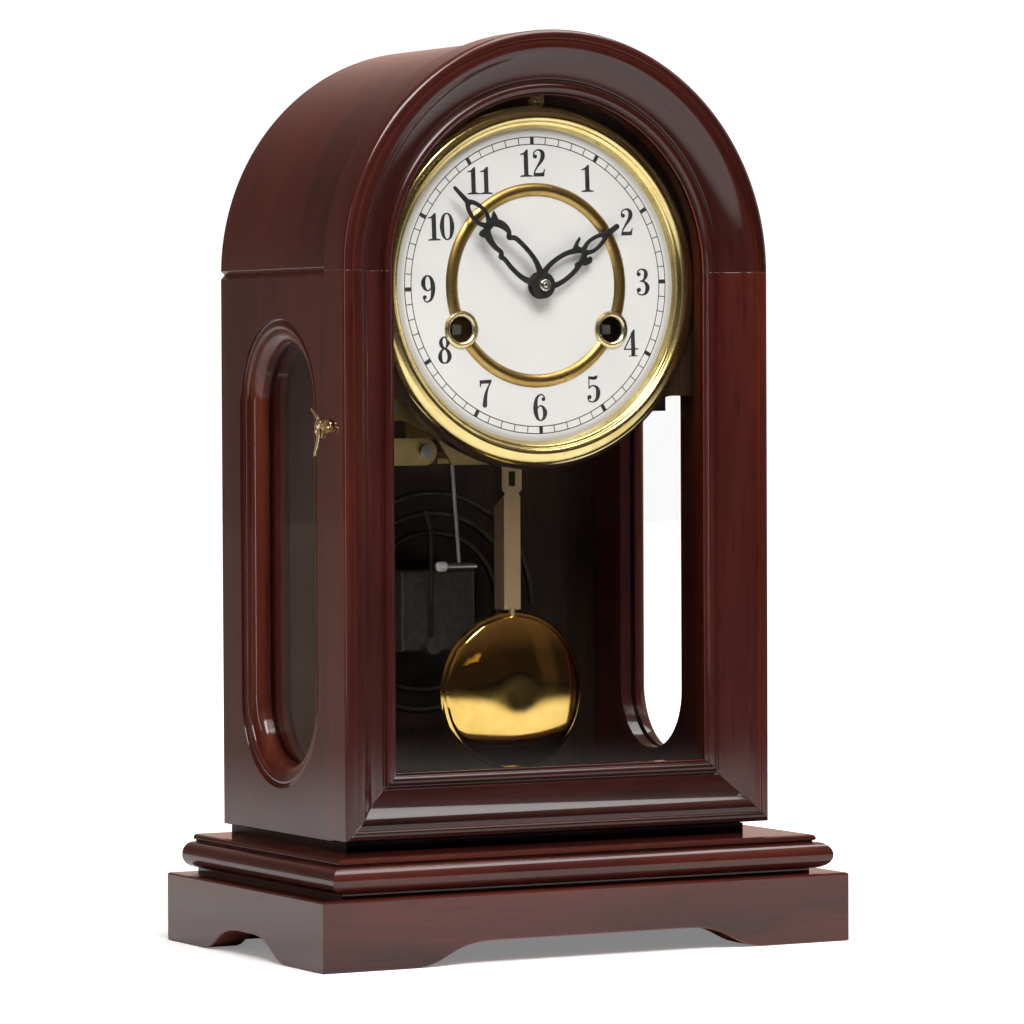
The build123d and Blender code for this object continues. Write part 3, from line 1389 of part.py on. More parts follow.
coil_start_x = gong_x - gong_first_radius
coil_entry_z = gong_z - 11.0
with BuildPart() as gong_coil:
    with BuildLine(Plane.XZ.offset(-gong_y)) as coil_path:
        entry = Line((gong_block_left, coil_entry_z), (coil_start_x + 6.0, coil_entry_z))
        bend = JernArc(entry @ 1, (-1, 0), 6.0, -90)
        rise = Line(bend @ 1, (coil_start_x, gong_z))
        turn_start = rise @ 1
        for half_turn in range(gong_turns_half):
            radius = gong_first_radius + half_turn * gong_pitch / 2
            turn = JernArc(turn_start, (0, 1 if half_turn % 2 == 0 else -1), radius, -180)
            turn_start = turn @ 1
    with BuildSketch(Plane(origin=coil_path.line @ 0, z_dir=coil_path.line % 0)):
        Circle(gong_wire_radius)
    sweep(path=coil_path.line)
    with BuildLine() as rod_path:
        FilletPolyline((gong_rod_x, gong_rod_y, gong_rod_z), (gong_rod_x, gong_rod_y, gong_rod_top_z - 9.0),
                       (gong_rod_x - 3.0, gong_rod_y, gong_rod_top_z), radius=8.0)
    with BuildSketch(Plane(origin=rod_path.line @ 0, z_dir=rod_path.line % 0)):
        Circle(1.0)
    sweep(path=rod_path.line)
gong_coil.part.label = "gong_coil"
export_step(gong_coil.part, "parts/gong_coil.step")

hammer_rod_radius = 0.9
hammer_head_radius = 1.8
hammer_head_left = -8.5
hammer_tip_left = -13.5
with BuildPart() as hammer_arm:
    add(shaft(hammer_pivot, arbor_radius, arbor_front, hammer_y + 1.5))
    with BuildLine() as arm_path:
        Line((hammer_arbor_x, hammer_y, hammer_arbor_z), (hammer_head_x, hammer_y, hammer_head_z))
    with BuildSketch(Plane(origin=arm_path.line @ 0, z_dir=arm_path.line % 0)):
        Circle(hammer_rod_radius)
    sweep(path=arm_path.line)
    with BuildSketch(front_plane(hammer_y + 1.5)):
        with Locations(hammer_pivot):
            Circle(2.4)
    extrude(amount=3.0)
    with BuildSketch(side_plane(hammer_head_left)):
        with Locations((hammer_y, hammer_head_z)):
            Circle(hammer_head_radius)
    extrude(amount=16.5)
hammer_arm.part.label = "hammer_arm"
export_step(hammer_arm.part, "parts/hammer_arm.step")

with BuildPart() as hammer_tip:
    with BuildSketch(side_plane(hammer_tip_left)):
        with Locations((hammer_y, hammer_head_z)):
            Circle(2.5)
    extrude(amount=hammer_head_left - hammer_tip_left)
    fillet(hammer_tip.edges().group_by(Axis.X)[0], radius=1.6)
hammer_tip.part.label = "hammer_tip"
export_step(hammer_tip.part, "parts/hammer_tip.step")
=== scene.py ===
import json
import math

import bmesh
import bpy
import numpy as np
from mathutils import Matrix, Vector


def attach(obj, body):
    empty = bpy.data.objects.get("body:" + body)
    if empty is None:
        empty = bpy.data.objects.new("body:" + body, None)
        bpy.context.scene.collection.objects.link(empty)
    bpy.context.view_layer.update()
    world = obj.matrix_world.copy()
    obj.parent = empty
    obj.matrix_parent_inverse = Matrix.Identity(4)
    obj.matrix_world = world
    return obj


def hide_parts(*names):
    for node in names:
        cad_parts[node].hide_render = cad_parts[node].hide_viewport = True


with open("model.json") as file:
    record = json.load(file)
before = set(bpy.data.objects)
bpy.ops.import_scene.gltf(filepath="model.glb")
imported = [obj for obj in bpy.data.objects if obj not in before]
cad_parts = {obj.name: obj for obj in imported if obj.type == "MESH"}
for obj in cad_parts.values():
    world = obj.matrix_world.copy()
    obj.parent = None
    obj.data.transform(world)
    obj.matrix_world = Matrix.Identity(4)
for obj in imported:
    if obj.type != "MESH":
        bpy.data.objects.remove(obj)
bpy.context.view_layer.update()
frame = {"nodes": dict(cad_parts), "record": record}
mm = 0.001  # sizes below are in millimetres


# ---- camera, light and floor

cameraSetup = {"azimuth": 28.24, "elevation": 1.53, "distance": 2.496, "roll": -0.26,
               "target": (0.0036, 0.0, 0.2041), "lens": 184.4}
lamps = [  # name, direction from the clock (azimuth, height), distance, size, watts
    ("softboxFront", -20, 46, 2.4, (1.5, 1.0), 62),
    ("softboxTop", 70, 70, 2.2, (2.0, 1.3), 46),
    ("stripLeft", -84, 8, 2.0, (0.12, 1.3), 4.0),
    ("stripRight", 74, 22, 2.4, (0.3, 1.5), 5),
]
backdrop = {"towards": (0.469, 0.882, -0.45), "start": 0.36, "full": 0.98, "room": 0.02, "bright": 0.7,
            "upper": (0.05, 0.6, 0.16), "tint": (1.0, 0.66, 0.56, 1), "white": 1.12}
floorSheet = {"glow": (0.25, 0.8, 0.22, 1.1), "sheet": (0.7, 1.5, 0.85, 0.02),  # near, far, value at each
              "behind": (0.3, 1.6, 0.0, 0.34)}
floorSize = {"radius": 7.0, "sides": 64}


def newObject(name, data):
    made = bpy.data.objects.new(name, data)
    bpy.context.scene.collection.objects.link(made)
    return made


def aimAt(thing, place, target):
    thing.location = place
    thing.rotation_mode = "QUATERNION"
    thing.rotation_quaternion = (target - place).to_track_quat("-Z", "Y")


def fromAngles(azimuth, elevation):
    a, e = math.radians(azimuth), math.radians(elevation)
    return Vector((math.sin(a) * math.cos(e), -math.cos(a) * math.cos(e), math.sin(e)))


def floorPaint():
    # white sweep for the camera, a lit sheet of limited size for reflections
    paint = bpy.data.materials.new("paleFloor")
    paint.use_nodes = True
    tree = paint.node_tree
    tree.nodes.clear()
    coords = tree.nodes.new("ShaderNodeTexCoord")
    reach = tree.nodes.new("ShaderNodeVectorMath")
    reach.operation = "LENGTH"
    tree.links.new(coords.outputs["Object"], reach.inputs[0])
    split = tree.nodes.new("ShaderNodeSeparateXYZ")
    tree.links.new(coords.outputs["Object"], split.inputs[0])
    spans = {}
    for key, (near, far, start, end) in floorSheet.items():
        spans[key] = tree.nodes.new("ShaderNodeMapRange")
        spans[key].interpolation_type = "SMOOTHSTEP"
        for label, value in (("From Min", near), ("From Max", far), ("To Min", start), ("To Max", end)):
            spans[key].inputs[label].default_value = value
        measure = split.outputs["Y"] if key == "behind" else reach.outputs["Value"]
        tree.links.new(measure, spans[key].inputs["Value"])
    seen, cast, glow = (tree.nodes.new("ShaderNode" + kind) for kind in ("BsdfDiffuse", "BsdfDiffuse", "Emission"))
    seen.inputs["Color"].default_value = (0.9, 0.9, 0.9, 1)
    tree.links.new(spans["glow"].outputs[0], glow.inputs["Strength"])
    tree.links.new(spans["sheet"].outputs[0], cast.inputs["Color"])
    both = tree.nodes.new("ShaderNodeAddShader")
    tree.links.new(seen.outputs[0], both.inputs[0])
    tree.links.new(glow.outputs[0], both.inputs[1])
    sheetGlow = tree.nodes.new("ShaderNodeEmission")
    sheetGlow.inputs["Color"].default_value = backdrop["tint"]
    tree.links.new(spans["behind"].outputs[0], sheetGlow.inputs["Strength"])
    bounced = tree.nodes.new("ShaderNodeAddShader")
    tree.links.new(cast.outputs[0], bounced.inputs[0])
    tree.links.new(sheetGlow.outputs[0], bounced.inputs[1])
    path = tree.nodes.new("ShaderNodeLightPath")
    mix = tree.nodes.new("ShaderNodeMixShader")
    tree.links.new(path.outputs["Is Camera Ray"], mix.inputs[0])
    tree.links.new(bounced.outputs[0], mix.inputs[1])
    tree.links.new(both.outputs[0], mix.inputs[2])
    out = tree.nodes.new("ShaderNodeOutputMaterial")
    tree.links.new(mix.outputs[0], out.inputs["Surface"])
    return paint


def buildStage():
    scene = bpy.context.scene
    cam = newObject("camera", bpy.data.cameras.new("camera"))
    cam.data.lens = cameraSetup["lens"]
    cam.data.clip_end = 30
    target = Vector(cameraSetup["target"])
    back = fromAngles(-cameraSetup["azimuth"], cameraSetup["elevation"])
    aimAt(cam, target + back * cameraSetup["distance"], target)
    roll = Matrix.Rotation(math.radians(cameraSetup["roll"]), 3, "Z").to_quaternion()
    cam.rotation_quaternion = cam.rotation_quaternion @ roll
    scene.camera = cam
    middle = Vector((0, 0, 0.2))
    for name, azimuth, height, distance, size, watts in lamps:
        light = bpy.data.lights.new(name, "AREA")
        light.shape = "RECTANGLE"
        light.size, light.size_y = size
        light.energy = watts
        aimAt(newObject(name, light), middle + fromAngles(azimuth, height) * distance, middle)
    world = bpy.data.worlds.new("studio")
    scene.world = world
    world.use_nodes = True
    tree = world.node_tree
    tree.nodes.clear()
    out = tree.nodes.new("ShaderNodeOutputWorld")
    seen = tree.nodes.new("ShaderNodeBackground")
    glow = tree.nodes.new("ShaderNodeBackground")
    mix = tree.nodes.new("ShaderNodeMixShader")
    path = tree.nodes.new("ShaderNodeLightPath")
    coords = tree.nodes.new("ShaderNodeTexCoord")
    seen.inputs["Color"].default_value = (1, 1, 1, 1)
    seen.inputs["Strength"].default_value = backdrop["white"]
    glow.inputs["Color"].default_value = backdrop["tint"]
    nearness = tree.nodes.new("ShaderNodeVectorMath")
    nearness.operation = "DOT_PRODUCT"
    nearness.inputs[1].default_value = backdrop["towards"]
    fade = tree.nodes.new("ShaderNodeMapRange")  # white sheet behind the clock, dim room around it
    fade.inputs["From Min"].default_value = backdrop["start"]
    fade.inputs["From Max"].default_value = backdrop["full"]
    fade.inputs["To Min"].default_value = backdrop["room"]
    fade.inputs["To Max"].default_value = backdrop["bright"]
    fade.interpolation_type = "SMOOTHSTEP"
    tree.links.new(coords.outputs["Generated"], nearness.inputs[0])
    tree.links.new(nearness.outputs["Value"], fade.inputs["Value"])
    split = tree.nodes.new("ShaderNodeSeparateXYZ")
    tree.links.new(coords.outputs["Generated"], split.inputs[0])
    upper = tree.nodes.new("ShaderNodeMapRange")  # soft light from the upper part of the room
    upper.interpolation_type = "SMOOTHSTEP"
    for label, value in zip(("From Min", "From Max", "To Max"), backdrop["upper"]):
        upper.inputs[label].default_value = value
    tree.links.new(split.outputs["Z"], upper.inputs["Value"])
    brightest = tree.nodes.new("ShaderNodeMath")
    brightest.operation = "MAXIMUM"
    tree.links.new(fade.outputs[0], brightest.inputs[0])
    tree.links.new(upper.outputs[0], brightest.inputs[1])
    tree.links.new(brightest.outputs[0], glow.inputs["Strength"])
    tree.links.new(path.outputs["Is Camera Ray"], mix.inputs[0])
    tree.links.new(glow.outputs[0], mix.inputs[1])
    tree.links.new(seen.outputs[0], mix.inputs[2])
    tree.links.new(mix.outputs[0], out.inputs["Surface"])
    scene.view_settings.view_transform = "Standard"
    mesh = bpy.data.meshes.new("floor")
    radius, sides = floorSize["radius"], floorSize["sides"]
    ring = [(radius * math.cos(2 * math.pi * k / sides), radius * math.sin(2 * math.pi * k / sides), 0)
            for k in range(sides)]
    mesh.from_pydata(ring, [], [list(range(sides))])
    mesh.materials.append(floorPaint())
    newObject("floor", mesh)


buildStage()
print("stage: camera, lamps and floor")


# ---- small material kit

class Recipe:
    def __init__(self, name):
        self.material = bpy.data.materials.new(name)
        self.material.use_nodes = True
        self.tree = self.material.node_tree
        self.shader = self.tree.nodes["Principled BSDF"]
        self.out = self.tree.nodes["Material Output"]

    def node(self, kind, **settings):
        made = self.tree.nodes.new("ShaderNode" + kind)
        for key, value in settings.items():
            setattr(made, key, value)
        return made

    def link(self, source, target):
        self.tree.links.new(source, target)

    def value(self, **values):
        for key, value in values.items():
            self.shader.inputs[key.replace("_", " ")].default_value = value

    def place(self, stretch, attribute=None):
        # object coordinates, or a piece's own stored coordinates, stretched
        if attribute:
            source = self.node("Attribute", attribute_name=attribute).outputs["Vector"]
        else:
            source = self.node("TexCoord").outputs["Object"]
        mapping = self.node("Mapping")
        mapping.inputs["Scale"].default_value = stretch
        self.link(source, mapping.inputs["Vector"])
        return mapping.outputs["Vector"]

    def noise(self, vector, scale, detail=3.0, rough=0.5, distortion=0.0):
        made = self.node("TexNoise")
        made.inputs["Scale"].default_value = scale
        made.inputs["Detail"].default_value = detail
        made.inputs["Roughness"].default_value = rough
        made.inputs["Distortion"].default_value = distortion
        self.link(vector, made.inputs["Vector"])
        return made.outputs["Fac"]

    def ramp(self, source, stops):
        made = self.node("ValToRGB")
        band = made.color_ramp
        while len(band.elements) < len(stops):
            band.elements.new(0.5)
        for element, (at, colour) in zip(band.elements, stops):
            element.position = at
            element.color = (*colour, 1)
        self.link(source, made.inputs["Fac"])
        return made.outputs["Color"]

    def span(self, source, low, high, start=0.0, end=1.0):
        made = self.node("MapRange")
        for key, value in (("From Min", start), ("From Max", end), ("To Min", low), ("To Max", high)):
            made.inputs[key].default_value = value
        self.link(source, made.inputs["Value"])
        return made.outputs["Result"]

    def blend(self, amount, first, second, mode="MIX"):
        made = self.node("Mix", data_type="RGBA", blend_type=mode)
        for socket, given in ((made.inputs[0], amount), (made.inputs[6], first), (made.inputs[7], second)):
            if isinstance(given, (int, float)):
                socket.default_value = given
            elif isinstance(given, tuple):
                socket.default_value = (*given, 1)
            else:
                self.link(given, socket)
        return made.outputs[2]

    def sum(self, first, second, operation="ADD"):
        made = self.node("Math", operation=operation)
        for socket, given in ((made.inputs[0], first), (made.inputs[1], second)):
            if isinstance(given, (int, float)):
                socket.default_value = given
            else:
                self.link(given, socket)
        return made.outputs[0]

    def bump(self, height, strength, distance):
        made = self.node("Bump")
        made.inputs["Strength"].default_value = strength
        made.inputs["Distance"].default_value = distance
        self.link(height, made.inputs["Height"])
        self.link(made.outputs["Normal"], self.shader.inputs["Normal"])

    def fromAxis(self, centre):
        # distance from a line along Y
        shifted = self.node("Mapping")
        shifted.inputs["Location"].default_value = centre
        self.link(self.node("TexCoord").outputs["Object"], shifted.inputs["Vector"])
        flat = self.node("VectorMath", operation="MULTIPLY")
        flat.inputs[1].default_value = (1, 0, 1)
        self.link(shifted.outputs["Vector"], flat.inputs[0])
        reach = self.node("VectorMath", operation="LENGTH")
        self.link(flat.outputs["Vector"], reach.inputs[0])
        return reach.outputs["Value"]


# ---- wood

# the edge colour is a lighter red used both for rubbed wear and for painted highlights and painted light on edges,
# jambs and inner faces
lacquer = {"deep": (0.009, 0.0013, 0.0011), "body": (0.038, 0.0050, 0.0034), "warm": (0.092, 0.0125, 0.0062),
           "edge": (0.20, 0.038, 0.014), "streaks": 46, "pores": 520, "coat": 0.06}


def woodMaterial(name, attribute=None, tones=lacquer, gloss=True):
    wood = Recipe(name)
    lying = (0.085, 1, 1) if attribute else (1, 1, 0.085)
    along = wood.place(lying, attribute)
    drift = wood.noise(along, 9, 4, 0.55, 0.6)
    streaks = wood.noise(along, tones["streaks"], 5, 0.6, 1.2)
    pores = wood.noise(along, tones["pores"], 2, 0.55)
    mixed = wood.sum(wood.sum(drift, 0.55, "MULTIPLY"), wood.sum(streaks, 0.45, "MULTIPLY"))
    colour = wood.ramp(mixed, [(0.30, tones["deep"]), (0.52, tones["body"]), (0.74, tones["warm"])])
    dots = wood.span(pores, 1.0, 0.55, 0.56, 0.72)
    colour = wood.blend(1.0, colour, dots, "MULTIPLY")
    # where a piece stores an edge tint, blend in the lighter red: partly real wear, partly painted light and painted
    # highlight
    if attribute:
        edgeLightAndWearFac = wood.node("Attribute", attribute_name="edge").outputs["Fac"]
        patchy = wood.sum(edgeLightAndWearFac, wood.span(streaks, 0.5, 1.35, 0.35, 0.65), "MULTIPLY")
        colour = wood.blend(patchy, colour, tones["edge"])
    wood.link(colour, wood.shader.inputs["Base Color"])
    rough = wood.span(streaks, 0.34, 0.5, 0.3, 0.7)
    wood.link(rough, wood.shader.inputs["Roughness"])
    if gloss:
        wood.value(Coat_Weight=0.85, Coat_Roughness=tones["coat"], Coat_IOR=1.5, Specular_IOR_Level=0.12)
    else:
        wood.value(Coat_Weight=0.1, Coat_Roughness=0.35, Specular_IOR_Level=0.15)
    ripple = wood.noise(along, 30, 2, 0.4)
    relief = wood.sum(wood.sum(ripple, 0.7, "MULTIPLY"), wood.sum(pores, 0.03, "MULTIPLY"))
    wood.bump(relief, 0.12, 0.0006)
    return wood.material


# dark stained inside wood; it also serves as painted shade on the case floor board
inside = dict(lacquer, deep=(0.006, 0.003, 0.002), body=(0.022, 0.0105, 0.0060), warm=(0.050, 0.025, 0.013))
glossWood = woodMaterial("mahoganyLacquer", "grain")
plainWood = woodMaterial("mahoganyUpright")
innerStainAndShade = woodMaterial("insideStainAndShade", tones=inside, gloss=False)


# ---- metals, enamel, glass and small finishes

def metalMaterial(name, colour, shade, roughness, smudge, lines=None, wave=0.0, axis=None, grain=0.08):
    metal = Recipe(name)
    spots = metal.place((1, 1, 1))
    cloud = metal.noise(spots, 60, 4, 0.6, 0.4)
    fine = metal.noise(spots, 900, 2, 0.5)
    tone = metal.blend(metal.span(cloud, 0, 1, 0.38, 0.68), colour, shade)
    metal.link(tone, metal.shader.inputs["Base Color"])
    metal.value(Metallic=1.0)
    uneven = metal.sum(metal.span(cloud, roughness, roughness + smudge, 0.35, 0.7),
                       metal.span(fine, -0.02, 0.03, 0.3, 0.7))
    metal.link(uneven, metal.shader.inputs["Roughness"])
    if lines:
        height = metal.sum(metal.noise(metal.place(lines), 1, 3, 0.6), 0.5, "MULTIPLY")
    elif wave:
        swell = metal.noise(metal.place((1, 0.4, 1.3)), 34, 1, 0.4)
        height = metal.sum(swell, wave, "MULTIPLY")
    elif axis:
        # turning marks: rings about the piece's own centre line
        rings = metal.node("TexNoise", noise_dimensions="1D")
        rings.inputs["Scale"].default_value = 2400
        rings.inputs["Detail"].default_value = 2
        metal.link(metal.fromAxis(axis), rings.inputs["W"])
        height = metal.sum(rings.outputs["Fac"], 0.08, "MULTIPLY")
    else:
        height = metal.sum(fine, grain, "MULTIPLY")
    metal.bump(height, 0.2, 0.0005)
    return metal.material


dialCentre = (0, 0, -0.3113)
bezelBrass = metalMaterial("bezelBrass", (0.80, 0.66, 0.30), (0.70, 0.55, 0.21), 0.15, 0.06, axis=dialCentre)
ringBrass = metalMaterial("dialRingBrass", (0.47, 0.32, 0.11), (0.34, 0.22, 0.065), 0.26, 0.1)
mirrorBrass = metalMaterial("bobBrass", (0.80, 0.56, 0.17), (0.72, 0.47, 0.12), 0.05, 0.05, wave=0.8)
fittingBrass = metalMaterial("fittingBrass", (0.76, 0.60, 0.27), (0.55, 0.40, 0.15), 0.22, 0.14)
paleBrass = metalMaterial("latchBrass", (0.80, 0.70, 0.43), (0.60, 0.46, 0.22), 0.2, 0.15)
plateBrass = metalMaterial("plateBrass", (0.50, 0.37, 0.16), (0.36, 0.25, 0.10), 0.32, 0.15, lines=(900, 900, 12))
rodBrass = metalMaterial("rodBrass", (0.62, 0.46, 0.27), (0.52, 0.37, 0.20), 0.3, 0.08, grain=0.004)
greySteel = metalMaterial("greySteel", (0.42, 0.41, 0.39), (0.28, 0.27, 0.25), 0.3, 0.15)
gongSteel = metalMaterial("gongSteel", (0.050, 0.040, 0.030), (0.028, 0.022, 0.018), 0.42, 0.12)
nutMetal = metalMaterial("nutMetal", (0.62, 0.60, 0.54), (0.44, 0.41, 0.34), 0.2, 0.12)


def paintMaterial(name, colour, other, roughness, coat=0.0, grainSize=300, relief=0.1):
    paint = Recipe(name)
    speck = paint.noise(paint.place((1, 1, 1)), grainSize, 3, 0.6)
    paint.link(paint.blend(paint.span(speck, 0, 1, 0.35, 0.65), colour, other), paint.shader.inputs["Base Color"])
    paint.link(paint.span(speck, roughness, roughness + 0.12, 0.3, 0.7), paint.shader.inputs["Roughness"])
    if coat:
        paint.value(Coat_Weight=coat, Coat_Roughness=0.12)
    paint.bump(speck, relief, 0.0002)
    return paint.material


blackPaint = paintMaterial("handBlack", (0.006, 0.006, 0.006), (0.012, 0.011, 0.010), 0.42)
printInk = paintMaterial("dialInk", (0.010, 0.010, 0.011), (0.022, 0.021, 0.021), 0.5)
castIron = paintMaterial("castIron", (0.018, 0.016, 0.014), (0.040, 0.034, 0.028), 0.5, relief=0.5)
whiteNylon = paintMaterial("whiteNylon", (0.80, 0.80, 0.77), (0.72, 0.72, 0.68), 0.35)


def enamelMaterial():
    # white dial with a grey band of painted shade on the rolled margin outside the minute track
    dial = Recipe("dialEnamel")
    marginShade = dial.span(dial.fromAxis(dialCentre), 0, 1, 0.0695, 0.0722)
    speck = dial.noise(dial.place((1, 1, 1)), 1500, 2, 0.5)
    cloud = dial.noise(dial.place((1, 1, 1)), 28, 3, 0.5)
    white = dial.blend(dial.span(cloud, 0, 1, 0.35, 0.65), (0.74, 0.735, 0.715), (0.69, 0.685, 0.67))
    whiteWithMarginShade = dial.blend(marginShade, white, (0.47, 0.455, 0.44))
    dial.link(dial.blend(dial.span(speck, 0, 0.12, 0.55, 0.75), whiteWithMarginShade, (0.45, 0.44, 0.43)),
              dial.shader.inputs["Base Color"])
    dial.link(dial.span(speck, 0.32, 0.45, 0.3, 0.7), dial.shader.inputs["Roughness"])
    dial.value(Coat_Weight=0.35, Coat_Roughness=0.15)
    dial.bump(speck, 0.06, 0.0002)
    return dial.material


def glassMaterial(name, tint):
    pane = Recipe(name)
    clear = pane.node("BsdfTransparent")
    clear.inputs["Color"].default_value = (*tint, 1)
    shine = pane.node("BsdfGlossy")
    shine.inputs["Color"].default_value = (0.9, 0.92, 0.92, 1)
    shine.inputs["Roughness"].default_value = 0.02
    facing = pane.node("LayerWeight")
    facing.inputs["Blend"].default_value = 0.5
    steep = pane.sum(facing.outputs["Facing"], 5.0, "POWER")
    film = pane.noise(pane.place((1, 1, 1)), 18, 3, 0.6)
    amount = pane.sum(pane.span(steep, 0.03, 1.0), pane.span(film, 0.75, 1.05, 0.3, 0.7), "MULTIPLY")
    mix = pane.node("MixShader")
    pane.link(amount, mix.inputs[0])
    pane.link(clear.outputs[0], mix.inputs[1])
    pane.link(shine.outputs[0], mix.inputs[2])
    pane.link(mix.outputs[0], pane.out.inputs["Surface"])
    pane.tree.nodes.remove(pane.shader)
    return pane.material


dialEnamel = enamelMaterial()
clearGlass = glassMaterial("clearGlass", (0.997, 1.0, 0.997))
print("materials: wood, brass, steel, enamel, paint and glass")


# ---- mesh kit

def facedOut(mesh, merge=0.0):
    made = bmesh.new()
    made.from_mesh(mesh)
    if merge:
        bmesh.ops.remove_doubles(made, verts=made.verts, dist=merge)
    bmesh.ops.recalc_face_normals(made, faces=made.faces)
    made.to_mesh(mesh)
    made.free()


def settled(piece):
    # the piece's mesh with its modifiers worked in
    return bpy.data.meshes.new_from_object(piece.evaluated_get(bpy.context.evaluated_depsgraph_get()))


def newPiece(name, verts, faces, material, sharp, grain=None, edge=None):
    mesh = bpy.data.meshes.new(name)
    mesh.from_pydata([tuple(v) for v in verts], [], faces)
    if grain is not None:
        stored = mesh.attributes.new("grain", "FLOAT_VECTOR", "POINT")
        stored.data.foreach_set("vector", np.array(grain, np.float32).ravel())
        stored = mesh.attributes.new("edge", "FLOAT", "POINT")
        stored.data.foreach_set("value", np.array(edge, np.float32))
    facedOut(mesh)
    mesh.materials.append(material)
    return evenShade(newObject(name, mesh), sharp)


def evenShade(piece, sharp):
    # smooth shading in which broad flat faces keep their own direction
    piece.data.shade_smooth()
    piece.data.set_sharp_from_angle(angle=math.radians(sharp))
    weigh = piece.modifiers.new("weigh", "WEIGHTED_NORMAL")
    weigh.keep_sharp = True
    weigh.weight = 100
    shaded = settled(piece)
    piece.modifiers.clear()
    piece.data = shaded
    return piece


def finish(piece, body, slot, *nodes):
    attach(piece, body)
    if nodes:
        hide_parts(*nodes)
    return piece


def loft(rings, closed=False):
    # quads between rings of equal length, with flat ends
    count = len(rings[0])
    verts = [v for ring in rings for v in ring]
    faces = []
    steps = len(rings) if closed else len(rings) - 1
    for i in range(steps):
        a, b = i * count, ((i + 1) % len(rings)) * count
        for k in range(count):
            n = (k + 1) % count
            faces.append((a + k, a + n, b + n, b + k))
    if not closed:
        faces.append(tuple(range(count)))
        faces.append(tuple(reversed(range((len(rings) - 1) * count, len(rings) * count))))
    return verts, faces


def lathe(name, profile, centre, material, segments, sharp):
    # profile of (radius, y), turned about a line along Y; a radius of 0 closes to one point
    verts, faces, rows = [], [], []
    cx, cz = centre
    for radius, y in profile:
        if radius < 1e-9:
            rows.append([len(verts)] * segments)
            verts.append((cx * mm, y * mm, cz * mm))
            continue
        rows.append(list(range(len(verts), len(verts) + segments)))
        for k in range(segments):
            turn = 2 * math.pi * k / segments
            verts.append(((cx + radius * math.sin(turn)) * mm, y * mm, (cz + radius * math.cos(turn)) * mm))
    closed = profile[0][0] > 1e-9
    pairs = list(zip(rows, rows[1:])) + ([(rows[-1], rows[0])] if closed else [])
    for a, b in pairs:
        for k in range(segments):
            n = (k + 1) % segments
            face = []
            for v in (a[k], a[n], b[n], b[k]):
                if v not in face:
                    face.append(v)
            if len(face) > 2:
                faces.append(tuple(face))
    return newPiece(name, verts, faces, material, sharp)


def arcPoints(start, middle, end, count):
    # points on the circle through three points, without the first
    (ax, ay), (bx, by), (cx, cy) = start, middle, end
    d = 2 * (ax * (by - cy) + bx * (cy - ay) + cx * (ay - by))
    a, b, c = (x * x + y * y for x, y in (start, middle, end))
    ux = (a * (by - cy) + b * (cy - ay) + c * (ay - by)) / d
    uy = (a * (cx - bx) + b * (ax - cx) + c * (bx - ax)) / d
    radius = math.hypot(ax - ux, ay - uy)
    first, mid, last = (math.atan2(y - uy, x - ux) for x, y in (start, middle, end))
    turn = (last - first) % (2 * math.pi)
    if (mid - first) % (2 * math.pi) > turn:
        turn -= 2 * math.pi
    return [(ux + radius * math.cos(first + turn * k / count), uy + radius * math.sin(first + turn * k / count))
            for k in range(1, count + 1)]


# ---- wooden case

def softened(outline, radius, least=24):
    # closed outline with each corner rounded by a small three-point curve
    out = []
    count = len(outline)
    for k in range(count):
        a, b, c = (Vector(outline[i % count]) for i in (k - 1, k, k + 1))
        u, v = a - b, c - b
        bend = 180 - math.degrees(u.angle(v, math.pi))
        if bend < least:
            out.append(tuple(b))
            continue
        reach = min(radius, 0.42 * u.length, 0.42 * v.length)
        start, end = b + u.normalized() * reach, b + v.normalized() * reach
        middle = (start + end) / 4 + b / 2
        out += [tuple(start), tuple(middle), tuple(end)]
    return out


def inset(outline, amount):
    # closed outline moved inwards along its corner normals
    area = sum(a[0] * b[1] - b[0] * a[1] for a, b in zip(outline, outline[1:] + outline[:1]))
    side = 1 if area > 0 else -1
    out, count = [], len(outline)
    for k in range(count):
        a, b, c = (Vector(outline[i % count]) for i in (k - 1, k, k + 1))
        way = ((b - a).normalized() + (c - b).normalized())
        normal = Vector((-way.y, way.x)).normalized() * side
        out.append(tuple(b + normal * amount))
    return out


doorFrame = {"half": 112.5, "foot": 56.0, "spring": 317.5, "back": -34.5, "joint": 0.14,
             "corner": 0.35, "archSteps": 120}
nose = [(0, 0), (0, 19.0)] + arcPoints((0, 19.0), (0.8, 20.8), (2.6, 21.5), 6)
ovolo = [(4.2, 21.5), (4.2, 20.3), (5.2, 20.3)] + arcPoints((5.2, 20.3), (8.0, 20.5), (11.0, 18.9), 7)
cove = arcPoints((11.0, 18.9), (16.0, 15.1), (22.6, 12.9), 10) + [(23.4, 11.9), (24.2, 11.9)]
bead = arcPoints((24.2, 11.9), (26.4, 14.1), (28.6, 11.9), 8) + [(30, 11.9), (30, 10.5), (25, 10.5), (25, 0)]
doorProfile = softened(nose + ovolo + cove + bead, doorFrame["corner"])


# edge tint for the door profile: mostly painted light on the inner faces behind the bead, and a little lighter red on
# the back arris and on the step before the ovolo
def doorTone(u, v):
    if u > 29.5 and v < 11.8:
        return 0.75
    return 0.16 if 4.0 < u < 5.4 else 0.08 * (u < 1.5) + 0.02


